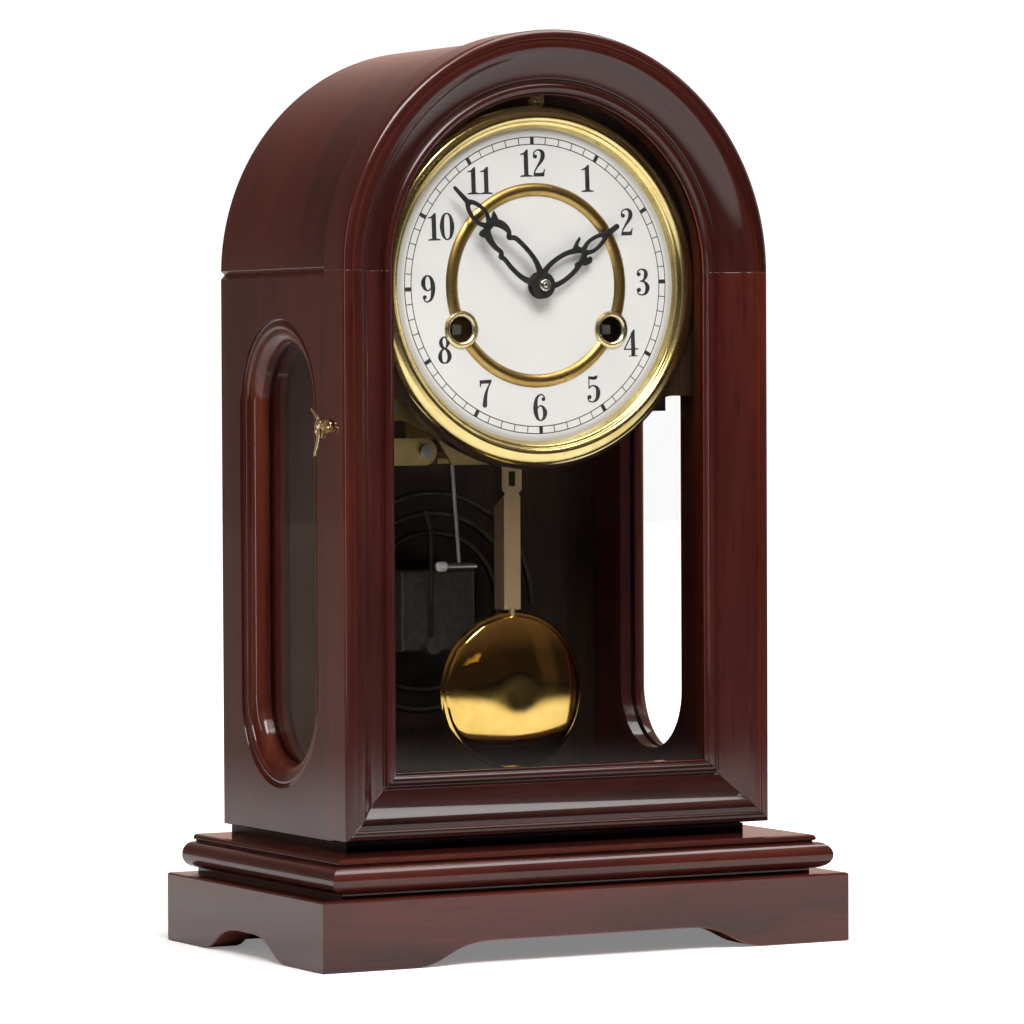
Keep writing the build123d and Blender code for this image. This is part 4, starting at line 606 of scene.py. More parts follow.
def doorPiece(name, node, stations, shift):
    # stations: (inset of the profile, function from (u, v) to a point and its length along the grain)
    rings, grain, edge = [], [], []
    for shrink, place in stations:
        profile = inset(doorProfile, shrink) if shrink else doorProfile
        ring = []
        for u, v in profile:
            point, along = place(u, v)
            ring.append(Vector(point) * mm)
            grain.append((along * mm + shift, u * mm + shift * 0.37, v * mm))
            edge.append(doorTone(u, v))
        rings.append(ring)
    verts, faces = loft(rings)
    piece = newPiece(name, verts, faces, glossWood, 40, grain, edge)
    return finish(piece, "door", "dark_wood", node)


hinges = {"heights": (112.0, 272.0), "half": 15, "across": (94, 130), "doorSeat": (-35.7, -30),
          "caseSeat": (-40, -32.8)}


def cutHinges(piece, depths):
    # shallow seats for the hinge leaves
    (inner, outer), half = hinges["across"], hinges["half"]
    boxes = [((inner, depths[0], z - half), (outer, depths[1], z + half)) for z in hinges["heights"]]
    cutters = bpy.data.meshes.new("cutters")
    verts, faces = [], []
    for low, high in boxes:
        n = len(verts)
        verts += [(x * mm, y * mm, z * mm) for x in (low[0], high[0]) for y in (low[1], high[1])
                  for z in (low[2], high[2])]
        faces += [tuple(n + i for i in f) for f in
                  ((0, 1, 3, 2), (4, 6, 7, 5), (0, 4, 5, 1), (2, 3, 7, 6), (0, 2, 6, 4), (1, 5, 7, 3))]
    cutters.from_pydata(verts, [], faces)
    tool = newObject("cutters", cutters)
    cut = piece.modifiers.new("seats", "BOOLEAN")
    cut.operation, cut.solver, cut.object = "DIFFERENCE", "EXACT", tool
    carved = settled(piece)
    piece.modifiers.clear()
    piece.data = carved
    bpy.data.objects.remove(tool)


def buildDoor():
    half, foot, spring, back = (doorFrame[k] for k in ("half", "foot", "spring", "back"))
    joint = doorFrame["joint"]
    for side, name, node in ((-1, "doorStileLeft", "door_left_stile"), (1, "doorStileRight", "door_right_stile")):
        stations = []
        for shrink, lift in ((joint, 0), (0, joint * 1.6)):
            stations.append((shrink, lambda u, v, side=side, lift=lift:
                             ((side * (half - u), back - v, foot + u + lift), foot + u)))
        for z in np.linspace(foot + 34, spring - 0.3, 8):
            stations.append((0, lambda u, v, side=side, z=z: ((side * (half - u), back - v, z), z)))
        stations.append((joint, lambda u, v, side=side: ((side * (half - u), back - v, spring), spring)))
        piece = doorPiece(name, node, stations, 0.31 * (side + 2))
        if side > 0:
            cutHinges(piece, hinges["doorSeat"])
    steps = doorFrame["archSteps"]
    stations = []
    tiny = joint * 1.6 / half
    turns = [(joint, 0), (0, tiny)] + [(0, math.pi * k / steps) for k in range(1, steps)]
    for shrink, turn in turns + [(0, math.pi - tiny), (joint, math.pi)]:
        stations.append((shrink, lambda u, v, turn=turn: (
            ((half - u) * -math.cos(turn), back - v, spring + (half - u) * math.sin(turn)), 100 * turn)))
    doorPiece("doorArch", "door_arch", stations, 1.7)
    stations = []
    for side, lift in ((-1, 0), (-1, joint * 1.6), (1, -joint * 1.6), (1, 0)):
        stations.append((joint if lift == 0 else 0, lambda u, v, side=side, lift=lift: (
            (side * (half - u) + lift, back - v, foot + u), side * (half - u))))
    doorPiece("doorBottomRail", "door_bottom_rail", stations, 2.3)


buildDoor()
print("door: four mitred frame members")


def cornerGrain(piece, rule):
    # stores wood coordinates on face corners, so that each face runs its own way
    mesh = piece.data
    for name in ("grain", "edge"):
        if name in mesh.attributes:
            mesh.attributes.remove(mesh.attributes[name])
    grain, edge = [], []
    for face in mesh.polygons:
        for corner in face.loop_indices:
            co = mesh.vertices[mesh.loops[corner].vertex_index].co
            where, tone = rule(face.normal, co)
            grain += where
            edge.append(tone)
    mesh.attributes.new("grain", "FLOAT_VECTOR", "CORNER").data.foreach_set("vector", grain)
    mesh.attributes.new("edge", "FLOAT", "CORNER").data.foreach_set("value", edge)


baseRails = {"halfLong": 139.0, "halfSide": 84.0, "height": 32.5, "thick": 16.0, "round": 1.0,
             "long": (92.0, 10.7, 42.0), "side": (45.0, 11.3, 38.0)}


def archHeight(across, half, height, curve):
    # height of the foot's underside, a flat with an ogee at each end
    reach = half - abs(across)
    if reach <= 0:
        return 0.0
    if reach >= curve:
        return height
    low, high = 0.0, 1.0
    for _ in range(40):
        t = (low + high) / 2
        x = 3 * (1 - t) ** 2 * t * 0.45 * curve + 3 * (1 - t) * t * t * 0.4 * curve + t ** 3 * curve
        low, high = (t, high) if x < reach else (low, t)
    return 3 * (1 - t) ** 2 * t * 0.1 * height + 3 * (1 - t) * t * t * height + t ** 3 * height


def railRings(halfLength, arch, thick, height, rounding):
    curveSpots = [arch[0] - arch[2] * s / 18 for s in range(19)]
    spots = sorted({round(s * x, 4) for s in (-1, 1) for x in curveSpots + [0, halfLength - thick - 2]})
    rings = []
    for k, along in enumerate([-halfLength] + spots + [halfLength]):
        foot = archHeight(along, *arch)
        section = [(0.5, foot), (0, foot + 0.5), (0, height - rounding), (0.3 * rounding, height - 0.3 * rounding),
                   (rounding, height), (thick, height), (thick, foot)]
        end = (k == 0) - (k == len(spots) + 1)
        rings.append([(along + end * depth, depth, z) for depth, z in section])
    return rings


def railPiece(name, node, halfLength, halfOut, arch, sideways):
    verts, faces = [], []
    for turn in (-1, 1):
        rings = railRings(halfLength, arch, baseRails["thick"], baseRails["height"], baseRails["round"])
        placed = []
        for ring in rings:
            row = []
            for along, depth, z in ring:
                out = turn * (halfOut - depth)
                x, y = (out, along) if sideways else (along, out)
                row.append(Vector((x, y, z)) * mm)
            placed.append(row)
        v, f = loft(placed)
        faces += [tuple(i + len(verts) for i in face) for face in f]
        verts += v
    piece = newPiece(name, verts, faces, glossWood, 32)
    way = (1, 0) if sideways else (0, 1)

    def rule(normal, co):
        along = co[way[0]]
        # lighter red on the downward faces low on the feet
        feetUndersideTint = 0.55 if co.z < 0.0125 and abs(normal.z) > 0.5 else 0.05
        return (along + 3.1 + sideways, co.z + 0.4, co[way[1]]), feetUndersideTint

    cornerGrain(piece, rule)
    return finish(piece, "case", "dark_wood", node)


halfLong, halfSide = baseRails["halfLong"], baseRails["halfSide"]
railPiece("baseRailsLong", "base_long_rails", halfLong, halfSide, baseRails["long"], False)
railPiece("baseRailsSide", "base_side_rails", halfSide, halfLong, baseRails["side"], True)


plinth = {"half": 126.25, "front": -75.4, "back": 82.0, "top": 50.5, "foot": 32.5}


def buildPlinth():
    top, foot = plinth["top"], plinth["foot"]
    edgeLine = [(-1.8, top), (-0.55, top - 0.5), (0, top - 1.6), (0, top - 2.3), (-0.5, top - 2.75),
                (-1.2, top - 2.9), (-1.35, top - 3.2), (-1.2, top - 3.6)]
    edgeLine += arcPoints((0, top - 3.6), (6.0, top - 10.2), (2.2, top - 15.0), 18)
    edgeLine += [(1.6, top - 15.35), (-0.6, top - 16.0), (-2.4, top - 16.3), (-2.4, foot)]
    rings = []
    for out, z in edgeLine:
        x, y = plinth["half"] + out, plinth["front"] - out
        rings.append([Vector(p) * mm for p in
                      ((-x, plinth["back"], z), (-x, y, z), (x, y, z), (x, plinth["back"], z))])
    verts, faces = loft(rings)
    piece = newPiece("plinthMoulding", verts, faces, glossWood, 32)

    def rule(normal, co):
        tone = 0.5 if foot + 2 < co.z * 1000 < foot + 3.2 else 0.06
        if abs(normal.x) > abs(normal.y) and abs(normal.z) < 0.95:
            return (co.y + 6.3, co.z, co.x), tone
        return (co.x + 5.2, co.z + 0.3, co.y), tone

    cornerGrain(piece, rule)
    finish(piece, "case", "dark_wood", "plinth_moulding")


buildPlinth()


sidePanel = {"outer": 109.5, "thick": 18.0, "front": -34.0, "back": 83.5, "foot": 54.5, "top": 317.5,
             "groove": 2.0, "round": 0.5, "centre": (21.3, 186.0), "window": (82.6, 220.9), "points": 192}
windowMould = [(0, 0), (0.25, 0.12), (0.4, 0.5), (0.45, 1.35), (1.0, 1.7), (1.7, 1.5)]
windowMould += arcPoints((1.7, 1.5), (3.3, 0.75), (4.9, 1.6), 6) + [(5.15, 2.2), (5.5, 2.3)]
windowMould += arcPoints((5.5, 2.3), (9.2, 3.5), (11.5, 7.0), 9) + [(11.6, 9.9), (6.6, 10.0), (6.6, 18.0)]


def stadium(width, height, points):
    # round-ended slot outline, starting at its right
    radius, straight = width / 2, height / 2 - width / 2
    total = 2 * math.pi * radius + 4 * straight
    out = []
    for k in range(points):
        s = total * k / points
        if s < straight:
            out.append((radius, s))
        elif s < straight + math.pi * radius:
            a = (s - straight) / radius
            out.append((radius * math.cos(a), straight + radius * math.sin(a)))
        elif s < 3 * straight + math.pi * radius:
            out.append((-radius, straight - (s - straight - math.pi * radius)))
        elif s < 3 * straight + 2 * math.pi * radius:
            a = math.pi + (s - 3 * straight - math.pi * radius) / radius
            out.append((radius * math.cos(a), -straight + radius * math.sin(a)))
        else:
            out.append((radius, -straight + (s - 3 * straight - 2 * math.pi * radius)))
    return out


def buildSides():
    p = sidePanel
    cy, cz = p["centre"]
    width, height = p["window"]
    count = p["points"]
    rays = stadium(width, height, count)
    left, right, low, high = p["front"] - cy, p["back"] - cy, p["foot"] - cz, p["top"] - cz
    frameLine, tags = [], []
    for y, z in rays:
        reach = min([b / y for b in (left, right) if b * y > 0] + [b / z for b in (low, high) if b * z > 0])
        frameLine.append([y * reach, z * reach])
    for corner in ((left, low), (left, high), (right, low), (right, high)):
        nearest = min(range(count), key=lambda k: math.dist(frameLine[k], corner))
        frameLine[nearest] = list(corner)

    def rectangle(edgeInset, topInset):
        return [(min(max(y, left + edgeInset), right - edgeInset), min(max(z, low + edgeInset), high - topInset))
                for y, z in frameLine]

    soft = p["round"]
    layers = [(rectangle(soft, p["groove"]), 0.0)]
    layers += [(stadium(width - 2 * off, height - 2 * off, count), depth) for off, depth in windowMould]
    layers += [(rectangle(soft, soft), p["thick"]), (rectangle(0, 0), p["thick"] - soft)]
    edgeRing = rectangle(0, 0)
    for side, name, node in ((-1, "caseSideLeft", "case_left_side"), (1, "caseSideRight", "case_right_side")):
        rings = [[Vector((side * (p["outer"] - depth), y + cy, z + cz)) * mm for y, z in outline]
                 for outline, depth in layers]
        rings.append([])
        for y, z in edgeRing:
            depth = p["groove"] if z > high - 0.01 else soft
            rings[-1].append(Vector((side * (p["outer"] - depth), y + cy, z + cz)) * mm)
        verts, faces = loft(rings, closed=True)
        piece = newPiece(name, verts, faces, glossWood, 30)

        def rule(normal, co, side=side):
            depth = p["outer"] - abs(co.x) * 1000
            # lighter red on the window mouldings and jambs is painted light
            off = 0.03
            if 1.0 < depth < 3.0 and abs(normal.x) < 0.98:
                off = 0.25
            if 3.0 <= depth < 8.0 and abs(normal.x) < 0.95:
                off = 0.3
            return (co.z + side + 8.7, co.y, co.x), off

        if side > 0:
            cutHinges(piece, hinges["caseSeat"])
        cornerGrain(piece, rule)
        finish(piece, "case", "dark_wood", node)


buildSides()


roof = {"outer": 109.5, "inner": 91.5, "front": -34.0, "back": 83.5, "centre": 317.5, "groove": 2.0,
        "rebate": 6.0, "panel": 5.5, "steps": 120, "soft": 0.5}


def buildRoof():
    r = roof
    rings, grain, edge = [], [], []
    slope = r["groove"] / r["outer"]
    turns = [0, slope] + [math.pi * k / r["steps"] for k in range(2, r["steps"] - 1)] + [math.pi - slope, math.pi]
    for k, turn in enumerate(turns):
        outer = r["outer"] - (r["groove"] if k in (0, len(turns) - 1) else 0)
        front, back, inner, soft = r["front"], r["back"], r["inner"], r["soft"]
        section = [(outer, front + soft), (outer - 0.15, front + 0.15), (outer - soft, front), (inner, front),
                   (inner, back - r["panel"]), (inner + r["rebate"], back - r["panel"]),
                   (inner + r["rebate"], back), (outer - soft, back), (outer - 0.15, back - 0.15),
                   (outer, back - soft)]
        rings.append([Vector((-radius * math.cos(turn), y, r["centre"] + radius * math.sin(turn))) * mm
                      for radius, y in section])
        for radius, y in section:
            grain.append((turn * 0.1 + 4.4, y * mm, radius * mm))
            edge.append(0.3 if k in (0, len(turns) - 1) else 0.03)
    verts, faces = loft(rings)
    piece = newPiece("caseRoof", verts, faces, glossWood, 30, grain, edge)
    finish(piece, "case", "dark_wood", "case_roof")


buildRoof()
print("case: base rails, plinth, sides and roof")


# ---- drawn shapes: strokes with a width, discs and polygons joined into clean outlines

def curveThrough(points, closed=False, steps=9):
    # Catmull-Rom curve through points of any dimension
    pts = [np.array(p, float) for p in points]
    count = len(pts)
    out = []
    for k in range(count if closed else count - 1):
        p0 = pts[k - 1] if closed or k > 0 else 2 * pts[0] - pts[1]
        p1, p2 = pts[k], pts[(k + 1) % count]
        p3 = pts[(k + 2) % count] if closed or k + 2 < count else 2 * pts[-1] - pts[-2]
        for s in range(steps):
            t = s / steps
            out.append(0.5 * (2 * p1 + (p2 - p0) * t + (2 * p0 - 5 * p1 + 4 * p2 - p3) * t * t
                              + (3 * p1 - p0 - 3 * p2 + p3) * t ** 3))
    out.append(pts[0] if closed else pts[-1])
    return np.array(out)


def strokeField(gx, gy, line):
    best = np.full(gx.shape, 1e9)
    for (ax, ay, aw), (bx, by, bw) in zip(line[:-1], line[1:]):
        dx, dy = bx - ax, by - ay
        t = np.clip(((gx - ax) * dx + (gy - ay) * dy) / max(dx * dx + dy * dy, 1e-12), 0, 1)
        best = np.minimum(best, np.hypot(gx - ax - t * dx, gy - ay - t * dy) - (aw + t * (bw - aw)) / 2)
    return best


def polygonField(gx, gy, points):
    best = np.full(gx.shape, 1e9)
    within = np.zeros(gx.shape, bool)
    for (ax, ay), (bx, by) in zip(points, points[1:] + points[:1]):
        dx, dy = bx - ax, by - ay
        t = np.clip(((gx - ax) * dx + (gy - ay) * dy) / max(dx * dx + dy * dy, 1e-12), 0, 1)
        best = np.minimum(best, np.hypot(gx - ax - t * dx, gy - ay - t * dy))
        crosses = ((ay > gy) != (by > gy)) & (gx < ax + (gy - ay) * dx / (dy if abs(dy) > 1e-12 else 1e-12))
        within ^= crosses
    return np.where(within, -best, best)


def shapeField(gx, gy, parts):
    field = np.full(gx.shape, 1e9)
    for kind, data in parts:
        if kind == "disc":
            made = np.hypot(gx - data[0], gy - data[1]) - data[2]
        elif kind == "polygon":
            made = polygonField(gx, gy, data)
        elif kind in ("stroke", "ring"):
            made = strokeField(gx, gy, curveThrough(data, kind == "ring"))
        elif kind == "bar":
            made = strokeField(gx, gy, np.array(data, float))
        elif kind == "hole":
            field = np.maximum(field, -(np.hypot(gx - data[0], gy - data[1]) - data[2]))
            continue
        field = np.minimum(field, made)
    return field


def outlines(parts, box, step):
    # closed outlines of the joined parts, by marching squares on a fine grid
    xs = np.arange(box[0], box[2] + step, step)
    ys = np.arange(box[1], box[3] + step, step)
    gx, gy = np.meshgrid(xs, ys, indexing="ij")
    f = shapeField(gx, gy, parts)
    f[np.abs(f) < 1e-6] = 1e-6
    links = {}

    def crossing(i, j, di, dj):
        a, b = f[i, j], f[i + di, j + dj]
        t = a / (a - b)
        return (xs[i] + di * t * step, ys[j] + dj * t * step)

    inside = f < 0
    mixed = inside[:-1, :-1].astype(int) + inside[1:, :-1] + inside[1:, 1:] + inside[:-1, 1:]
    for i, j in zip(*np.nonzero((mixed > 0) & (mixed < 4))):
        a, b, c, d = inside[i, j], inside[i + 1, j], inside[i + 1, j + 1], inside[i, j + 1]
        sides = {"s": (i, j, 1, 0), "e": (i + 1, j, 0, 1), "n": (i, j + 1, 1, 0), "w": (i, j, 0, 1)}
        code = a + 2 * b + 4 * c + 8 * d
        runs = {1: ("ws",), 2: ("se",), 3: ("we",), 4: ("en",), 5: ("wn", "es"), 6: ("sn",), 7: ("wn",),
                8: ("nw",), 9: ("ns",), 10: ("sw", "ne"), 11: ("ne",), 12: ("ew",), 13: ("es",), 14: ("sw",)}[code]
        for start, end in runs:
            links[sides[start]] = sides[end]
    loops = []
    while links:
        first = key = next(iter(links))
        loop = []
        while key in links:
            loop.append(crossing(*key))
            key = links.pop(key)
            if key == first:
                break
        if len(loop) > 5:
            loops.append(thinned(loop, step * 0.12))
    return loops


def thinned(loop, slack):
    # drops points that lie on the line between their neighbours
    keep = np.array(loop)
    marks = [0]
    anchor = 0
    for k in range(2, len(keep)):
        a, b = keep[anchor], keep[k]
        span = b - a
        between = keep[anchor + 1:k] - a
        off = np.abs(between[:, 0] * span[1] - between[:, 1] * span[0]) / max(np.hypot(*span), 1e-9)
        if off.max() > slack or k - anchor > 14:
            anchor = k - 1
            marks.append(anchor)
    return [tuple(keep[k]) for k in marks]


def flatPiece(name, loops, thickness, bevel, place, material, sharp):
    # loops in millimetres become a plate with eased edges; place sends its X, Y and front to the clock
    drawing = bpy.data.curves.new(name, "CURVE")
    drawing.dimensions = "2D"
    drawing.fill_mode = "BOTH"
    drawing.extrude = (thickness / 2 - bevel) * mm
    drawing.bevel_depth = bevel * mm
    drawing.bevel_resolution = 1
    drawing.offset = -bevel * mm
    for loop in loops:
        spline = drawing.splines.new("POLY")
        spline.points.add(len(loop) - 1)
        for point, (x, y) in zip(spline.points, loop):
            point.co = (x * mm, y * mm, 0, 1)
        spline.use_cyclic_u = True
    drawn = newObject(name, drawing)
    mesh = settled(drawn)
    bpy.data.objects.remove(drawn)
    mesh.transform(place)
    facedOut(mesh, 1e-7)
    mesh.shade_smooth()
    mesh.set_sharp_from_angle(angle=math.radians(sharp))
    mesh.materials.clear()
    mesh.materials.append(material)
    return newObject(name, mesh)


def joined(name, pieces):
    # one mesh from several with the same material
    made = bmesh.new()
    for piece in pieces:
        made.from_mesh(piece.data)
    mesh = bpy.data.meshes.new(name)
    made.to_mesh(mesh)
    made.free()
    mesh.materials.append(pieces[0].data.materials[0])
    for piece in pieces:
        bpy.data.objects.remove(piece)
    return newObject(name, mesh)


def onDial(y, turn):
    # drawing plane on the dial: X right, Y up, front towards -Y, turned clockwise
    placed = Matrix.Translation(Vector((0, y, dial["z"])) * mm)
    return placed @ Matrix.Rotation(math.radians(turn), 4, "Y") @ Matrix.Rotation(math.radians(90), 4, "X")


# ---- dial print

dial = {"z": 311.3, "face": -32.0, "numeralRadius": 57.4, "numeralHeight": 12.8, "numeralWidth": 1.12,
        "ink": 0.05, "trackOuter": 69.6, "trackInner": 66.2, "line": 0.42, "block": 1.9, "turn": -1.8}
digitWidth = {"1": 0.47, "other": 0.54}
digits = {
    "0": [("ring", [(.27, .975, .05), (.40, .86, .10), (.455, .5, .165), (.40, .14, .10), (.27, .025, .05),
                    (.14, .14, .10), (.085, .5, .165), (.14, .86, .10)])],
    "1": [("polygon", [(.18, 0), (.34, 0), (.34, 1), (.30, 1), (.18, .88)]),
          ("polygon", [(.03, 0), (.49, 0), (.49, .04), (.37, .07), (.15, .07), (.03, .04)]),
          ("polygon", [(.31, 1), (.29, 1), (.17, .88), (.05, .84), (.05, .80), (.20, .81)])],
    "2": [("disc", (.135, .735, .078)),
          ("stroke", [(.075, .75, .05), (.11, .90, .05), (.25, .975, .055), (.39, .91, .12), (.42, .75, .16),
                      (.36, .58, .13), (.22, .38, .075), (.11, .19, .055), (.08, .07, .05)]),
          ("polygon", [(.05, 0), (.45, 0), (.495, .28), (.46, .28), (.43, .18), (.38, .14), (.12, .14),
                       (.05, .05)])],
    "3": [("disc", (.13, .79, .075)), ("disc", (.12, .215, .08)),
          ("stroke", [(.07, .81, .045), (.12, .93, .05), (.25, .975, .055), (.38, .91, .11), (.40, .76, .15),
                      (.34, .61, .09), (.24, .545, .05), (.17, .54, .045)]),
          ("stroke", [(.20, .54, .045), (.34, .50, .08), (.43, .38, .14), (.445, .25, .165), (.38, .09, .11),
                      (.24, .025, .055), (.10, .07, .05), (.06, .19, .045)])],
    "4": [("polygon", [(.29, 0), (.44, 0), (.44, 1), (.40, 1), (.29, .86)]),
          ("bar", [(.40, .97, .05), (.035, .28, .05)]), ("bar", [(.035, .275, .05), (.54, .275, .05)]),
          ("polygon", [(.20, 0), (.53, 0), (.53, .04), (.20, .04)])],
    "5": [("polygon", [(.10, 1), (.14, .97), (.28, .955), (.43, 1), (.45, 1), (.42, .86), (.30, .83), (.14, .86),
                       (.135, .53), (.095, .50)]), ("disc", (.12, .205, .08)),
          ("stroke", [(.11, .52, .045), (.18, .60, .05), (.29, .62, .06), (.42, .53, .12), (.455, .34, .165),
                      (.40, .13, .12), (.26, .025, .055), (.11, .06, .05), (.06, .17, .045)])],
    "6": [("disc", (.395, .80, .072)),
          ("stroke", [(.445, .83, .045), (.39, .94, .05), (.29, .975, .055), (.15, .86, .10), (.09, .60, .155),
                      (.09, .36, .165), (.15, .12, .11), (.27, .025, .055), (.39, .11, .11), (.44, .30, .16),
                      (.39, .48, .11), (.28, .57, .055), (.18, .51, .05), (.13, .42, .045)])],
    "7": [("polygon", [(.05, 1), (.09, .985), (.46, 1), (.50, 1), (.47, .86), (.11, .86), (.085, .73), (.05, .73)]),
          ("stroke", [(.46, .93, .05), (.33, .66, .075), (.25, .38, .13), (.22, .09, .17), (.22, .085, .17)])],
    "8": [("ring", [(.27, .975, .05), (.37, .90, .10), (.40, .76, .13), (.35, .62, .07), (.27, .555, .06),
                    (.18, .63, .12), (.14, .76, .13), (.17, .90, .09)]),
          ("ring", [(.27, .55, .07), (.39, .45, .12), (.445, .26, .155), (.38, .08, .10), (.27, .025, .05),
                    (.15, .08, .10), (.095, .26, .155), (.15, .46, .09)])],
}


def turnedRound(parts):
    # half a turn about the middle of a digit
    out = []
    wide = digitWidth["other"]
    for kind, data in parts:
        if kind == "disc":
            out.append((kind, (wide - data[0], 1 - data[1], data[2])))
        else:
            out.append((kind, [(wide - p[0], 1 - p[1], *p[2:]) for p in data]))
    return out


digits["9"] = turnedRound(digits["6"])


def buildNumerals():
    tall, wide = dial["numeralHeight"], dial["numeralHeight"] * dial["numeralWidth"]
    loopsOf = {key: outlines(parts, (-.06, -.06, .62, 1.06), 0.0125) for key, parts in digits.items()}
    face = onDial(dial["face"] - dial["ink"] / 2, dial["turn"])
    marks = []
    for hour in range(1, 13):
        text = str(hour)
        widths = [wide * digitWidth.get(c, digitWidth["other"]) for c in text]
        angle = math.radians(30 * hour)
        x0 = dial["numeralRadius"] * math.sin(angle) - sum(widths) / 2
        z0 = dial["numeralRadius"] * math.cos(angle) - tall / 2
        for c, across in zip(text, widths):
            loops = [[(x * wide, y * tall) for x, y in loop] for loop in loopsOf[c]]
            place = face @ Matrix.Translation(Vector((x0, z0, 0)) * mm)
            marks.append(flatPiece("mark", loops, dial["ink"], 0.004, place, printInk, 30))
            x0 += across
    finish(joined("dialNumerals", marks), "case", "black_paint")


buildNumerals()


# ---- geometry node helpers

def newTree(name, inputs):
    tree = bpy.data.node_groups.new(name, "GeometryNodeTree")
    tree.interface.new_socket("Geometry", in_out="INPUT", socket_type="NodeSocketGeometry")
    tree.interface.new_socket("Geometry", in_out="OUTPUT", socket_type="NodeSocketGeometry")
    for label, kind, start in inputs:
        socket = tree.interface.new_socket(label, in_out="INPUT", socket_type="NodeSocket" + kind)
        if start is not None:
            socket.default_value = start
    tree.nodes.new("NodeGroupInput")
    tree.nodes.new("NodeGroupOutput")
    return tree


def treeNode(tree, kind, **inputs):
    made = tree.nodes.new(kind)
    for key, value in inputs.items():
        socket = made.inputs[key.replace("_", " ")]
        if isinstance(value, bpy.types.NodeSocket):
            tree.links.new(value, socket)
        else:
            socket.default_value = value
    return made


def reckon(tree, operation, first, second):
    made = tree.nodes.new("ShaderNodeMath")
    made.operation = operation
    for socket, value in zip(made.inputs, (first, second)):
        if isinstance(value, bpy.types.NodeSocket):
            tree.links.new(value, socket)
        else:
            socket.default_value = value
    return made.outputs[0]


def closeTree(tree, geometry, material):
    real = treeNode(tree, "GeometryNodeRealizeInstances", Geometry=geometry)
    paint = treeNode(tree, "GeometryNodeSetMaterial", Geometry=real.outputs[0], Material=material)
    out = next(n for n in tree.nodes if n.bl_idname == "NodeGroupOutput")
    tree.links.new(paint.outputs[0], out.inputs[0])


def grown(name, tree, values, points=()):
    # runs a tree on a mesh of loose points and keeps the plain mesh
    seed = bpy.data.meshes.new(name)
    seed.from_pydata([Vector(p) * mm for p in points], [], [])
    host = newObject(name, seed)
    modifier = host.modifiers.new("grow", "NODES")
    modifier.node_group = tree
    sockets = {s.name: s.identifier for s in tree.interface.items_tree
               if s.item_type == "SOCKET" and s.in_out == "INPUT"}
    for label, value in values.items():
        modifier[sockets[label]] = value
    mesh = settled(host)
    host.modifiers.clear()
    host.data = mesh
    return host


def trackTree():
    tree = newTree("minuteTrack", [
        ("Radius", "Float", 0.0674), ("Reach", "Float", 0.0034), ("Line", "Float", 0.0003), ("Block", "Float", 0.002),
        ("Ink", "Float", 0.00005), ("Height", "Float", 0.3113), ("Face", "Float", -0.032)])
    given = next(n for n in tree.nodes if n.bl_idname == "NodeGroupInput").outputs
    circle = treeNode(tree, "GeometryNodeMeshCircle", Vertices=60, Radius=given["Radius"])
    place = treeNode(tree, "GeometryNodeInputPosition")
    lying = treeNode(tree, "FunctionNodeAlignEulerToVector", Vector=place.outputs[0])
    lying.axis = "Y"
    size = treeNode(tree, "ShaderNodeCombineXYZ", X=given["Line"], Y=given["Reach"], Z=given["Ink"])
    box = treeNode(tree, "GeometryNodeMeshCube", Size=size.outputs[0])
    index = treeNode(tree, "GeometryNodeInputIndex")
    fifth = reckon(tree, "MODULO", index.outputs[0], 5)
    isHour = tree.nodes.new("FunctionNodeCompare")
    isHour.operation = "LESS_THAN"
    tree.links.new(fifth, isHour.inputs[0])
    isHour.inputs[1].default_value = 0.5
    widen = tree.nodes.new("GeometryNodeSwitch")
    widen.input_type = "FLOAT"
    tree.links.new(isHour.outputs[0], widen.inputs["Switch"])
    widen.inputs["False"].default_value = 1.0
    tree.links.new(reckon(tree, "DIVIDE", given["Block"], given["Line"]), widen.inputs["True"])
    scale = treeNode(tree, "ShaderNodeCombineXYZ", X=widen.outputs[0], Y=1.0, Z=1.0)
    marks = treeNode(tree, "GeometryNodeInstanceOnPoints", Points=circle.outputs[0], Instance=box.outputs[0],
                     Rotation=lying.outputs[0], Scale=scale.outputs[0])
    join = tree.nodes.new("GeometryNodeJoinGeometry")
    tree.links.new(marks.outputs[0], join.inputs[0])
    half = reckon(tree, "MULTIPLY", given["Reach"], 0.5)
    for operation in ("ADD", "SUBTRACT"):
        radius = reckon(tree, operation, given["Radius"], half)
        line = treeNode(tree, "GeometryNodeCurvePrimitiveCircle", Resolution=180, Radius=radius)
        section = treeNode(tree, "GeometryNodeCurvePrimitiveQuadrilateral", Width=given["Line"], Height=given["Ink"])
        swept = treeNode(tree, "GeometryNodeCurveToMesh", Curve=line.outputs[0], Profile_Curve=section.outputs[0])
        tree.links.new(swept.outputs[0], join.inputs[0])
    move = treeNode(tree, "ShaderNodeCombineXYZ", X=0.0, Y=given["Face"], Z=given["Height"])
    turned = treeNode(tree, "GeometryNodeTransform", Geometry=join.outputs[0],
                      Rotation=(0, 0, -math.radians(dial["turn"])))
    stood = treeNode(tree, "GeometryNodeTransform", Geometry=turned.outputs[0], Translation=move.outputs[0],
                     Rotation=(math.pi / 2, 0, 0))
    closeTree(tree, stood.outputs[0], printInk)
    return tree


def buildTrack():
    track = grown("dialMinuteTrack", trackTree(), {
        "Radius": (dial["trackOuter"] + dial["trackInner"]) / 2 * mm,
        "Reach": (dial["trackOuter"] - dial["trackInner"]) * mm, "Line": dial["line"] * mm,
        "Block": dial["block"] * mm, "Ink": dial["ink"] * mm, "Height": dial["z"] * mm,
        "Face": (dial["face"] - dial["ink"] / 2) * mm})
    finish(track, "case", "black_paint")


buildTrack()
print("dial: numerals and minute track")


# ---- turned parts

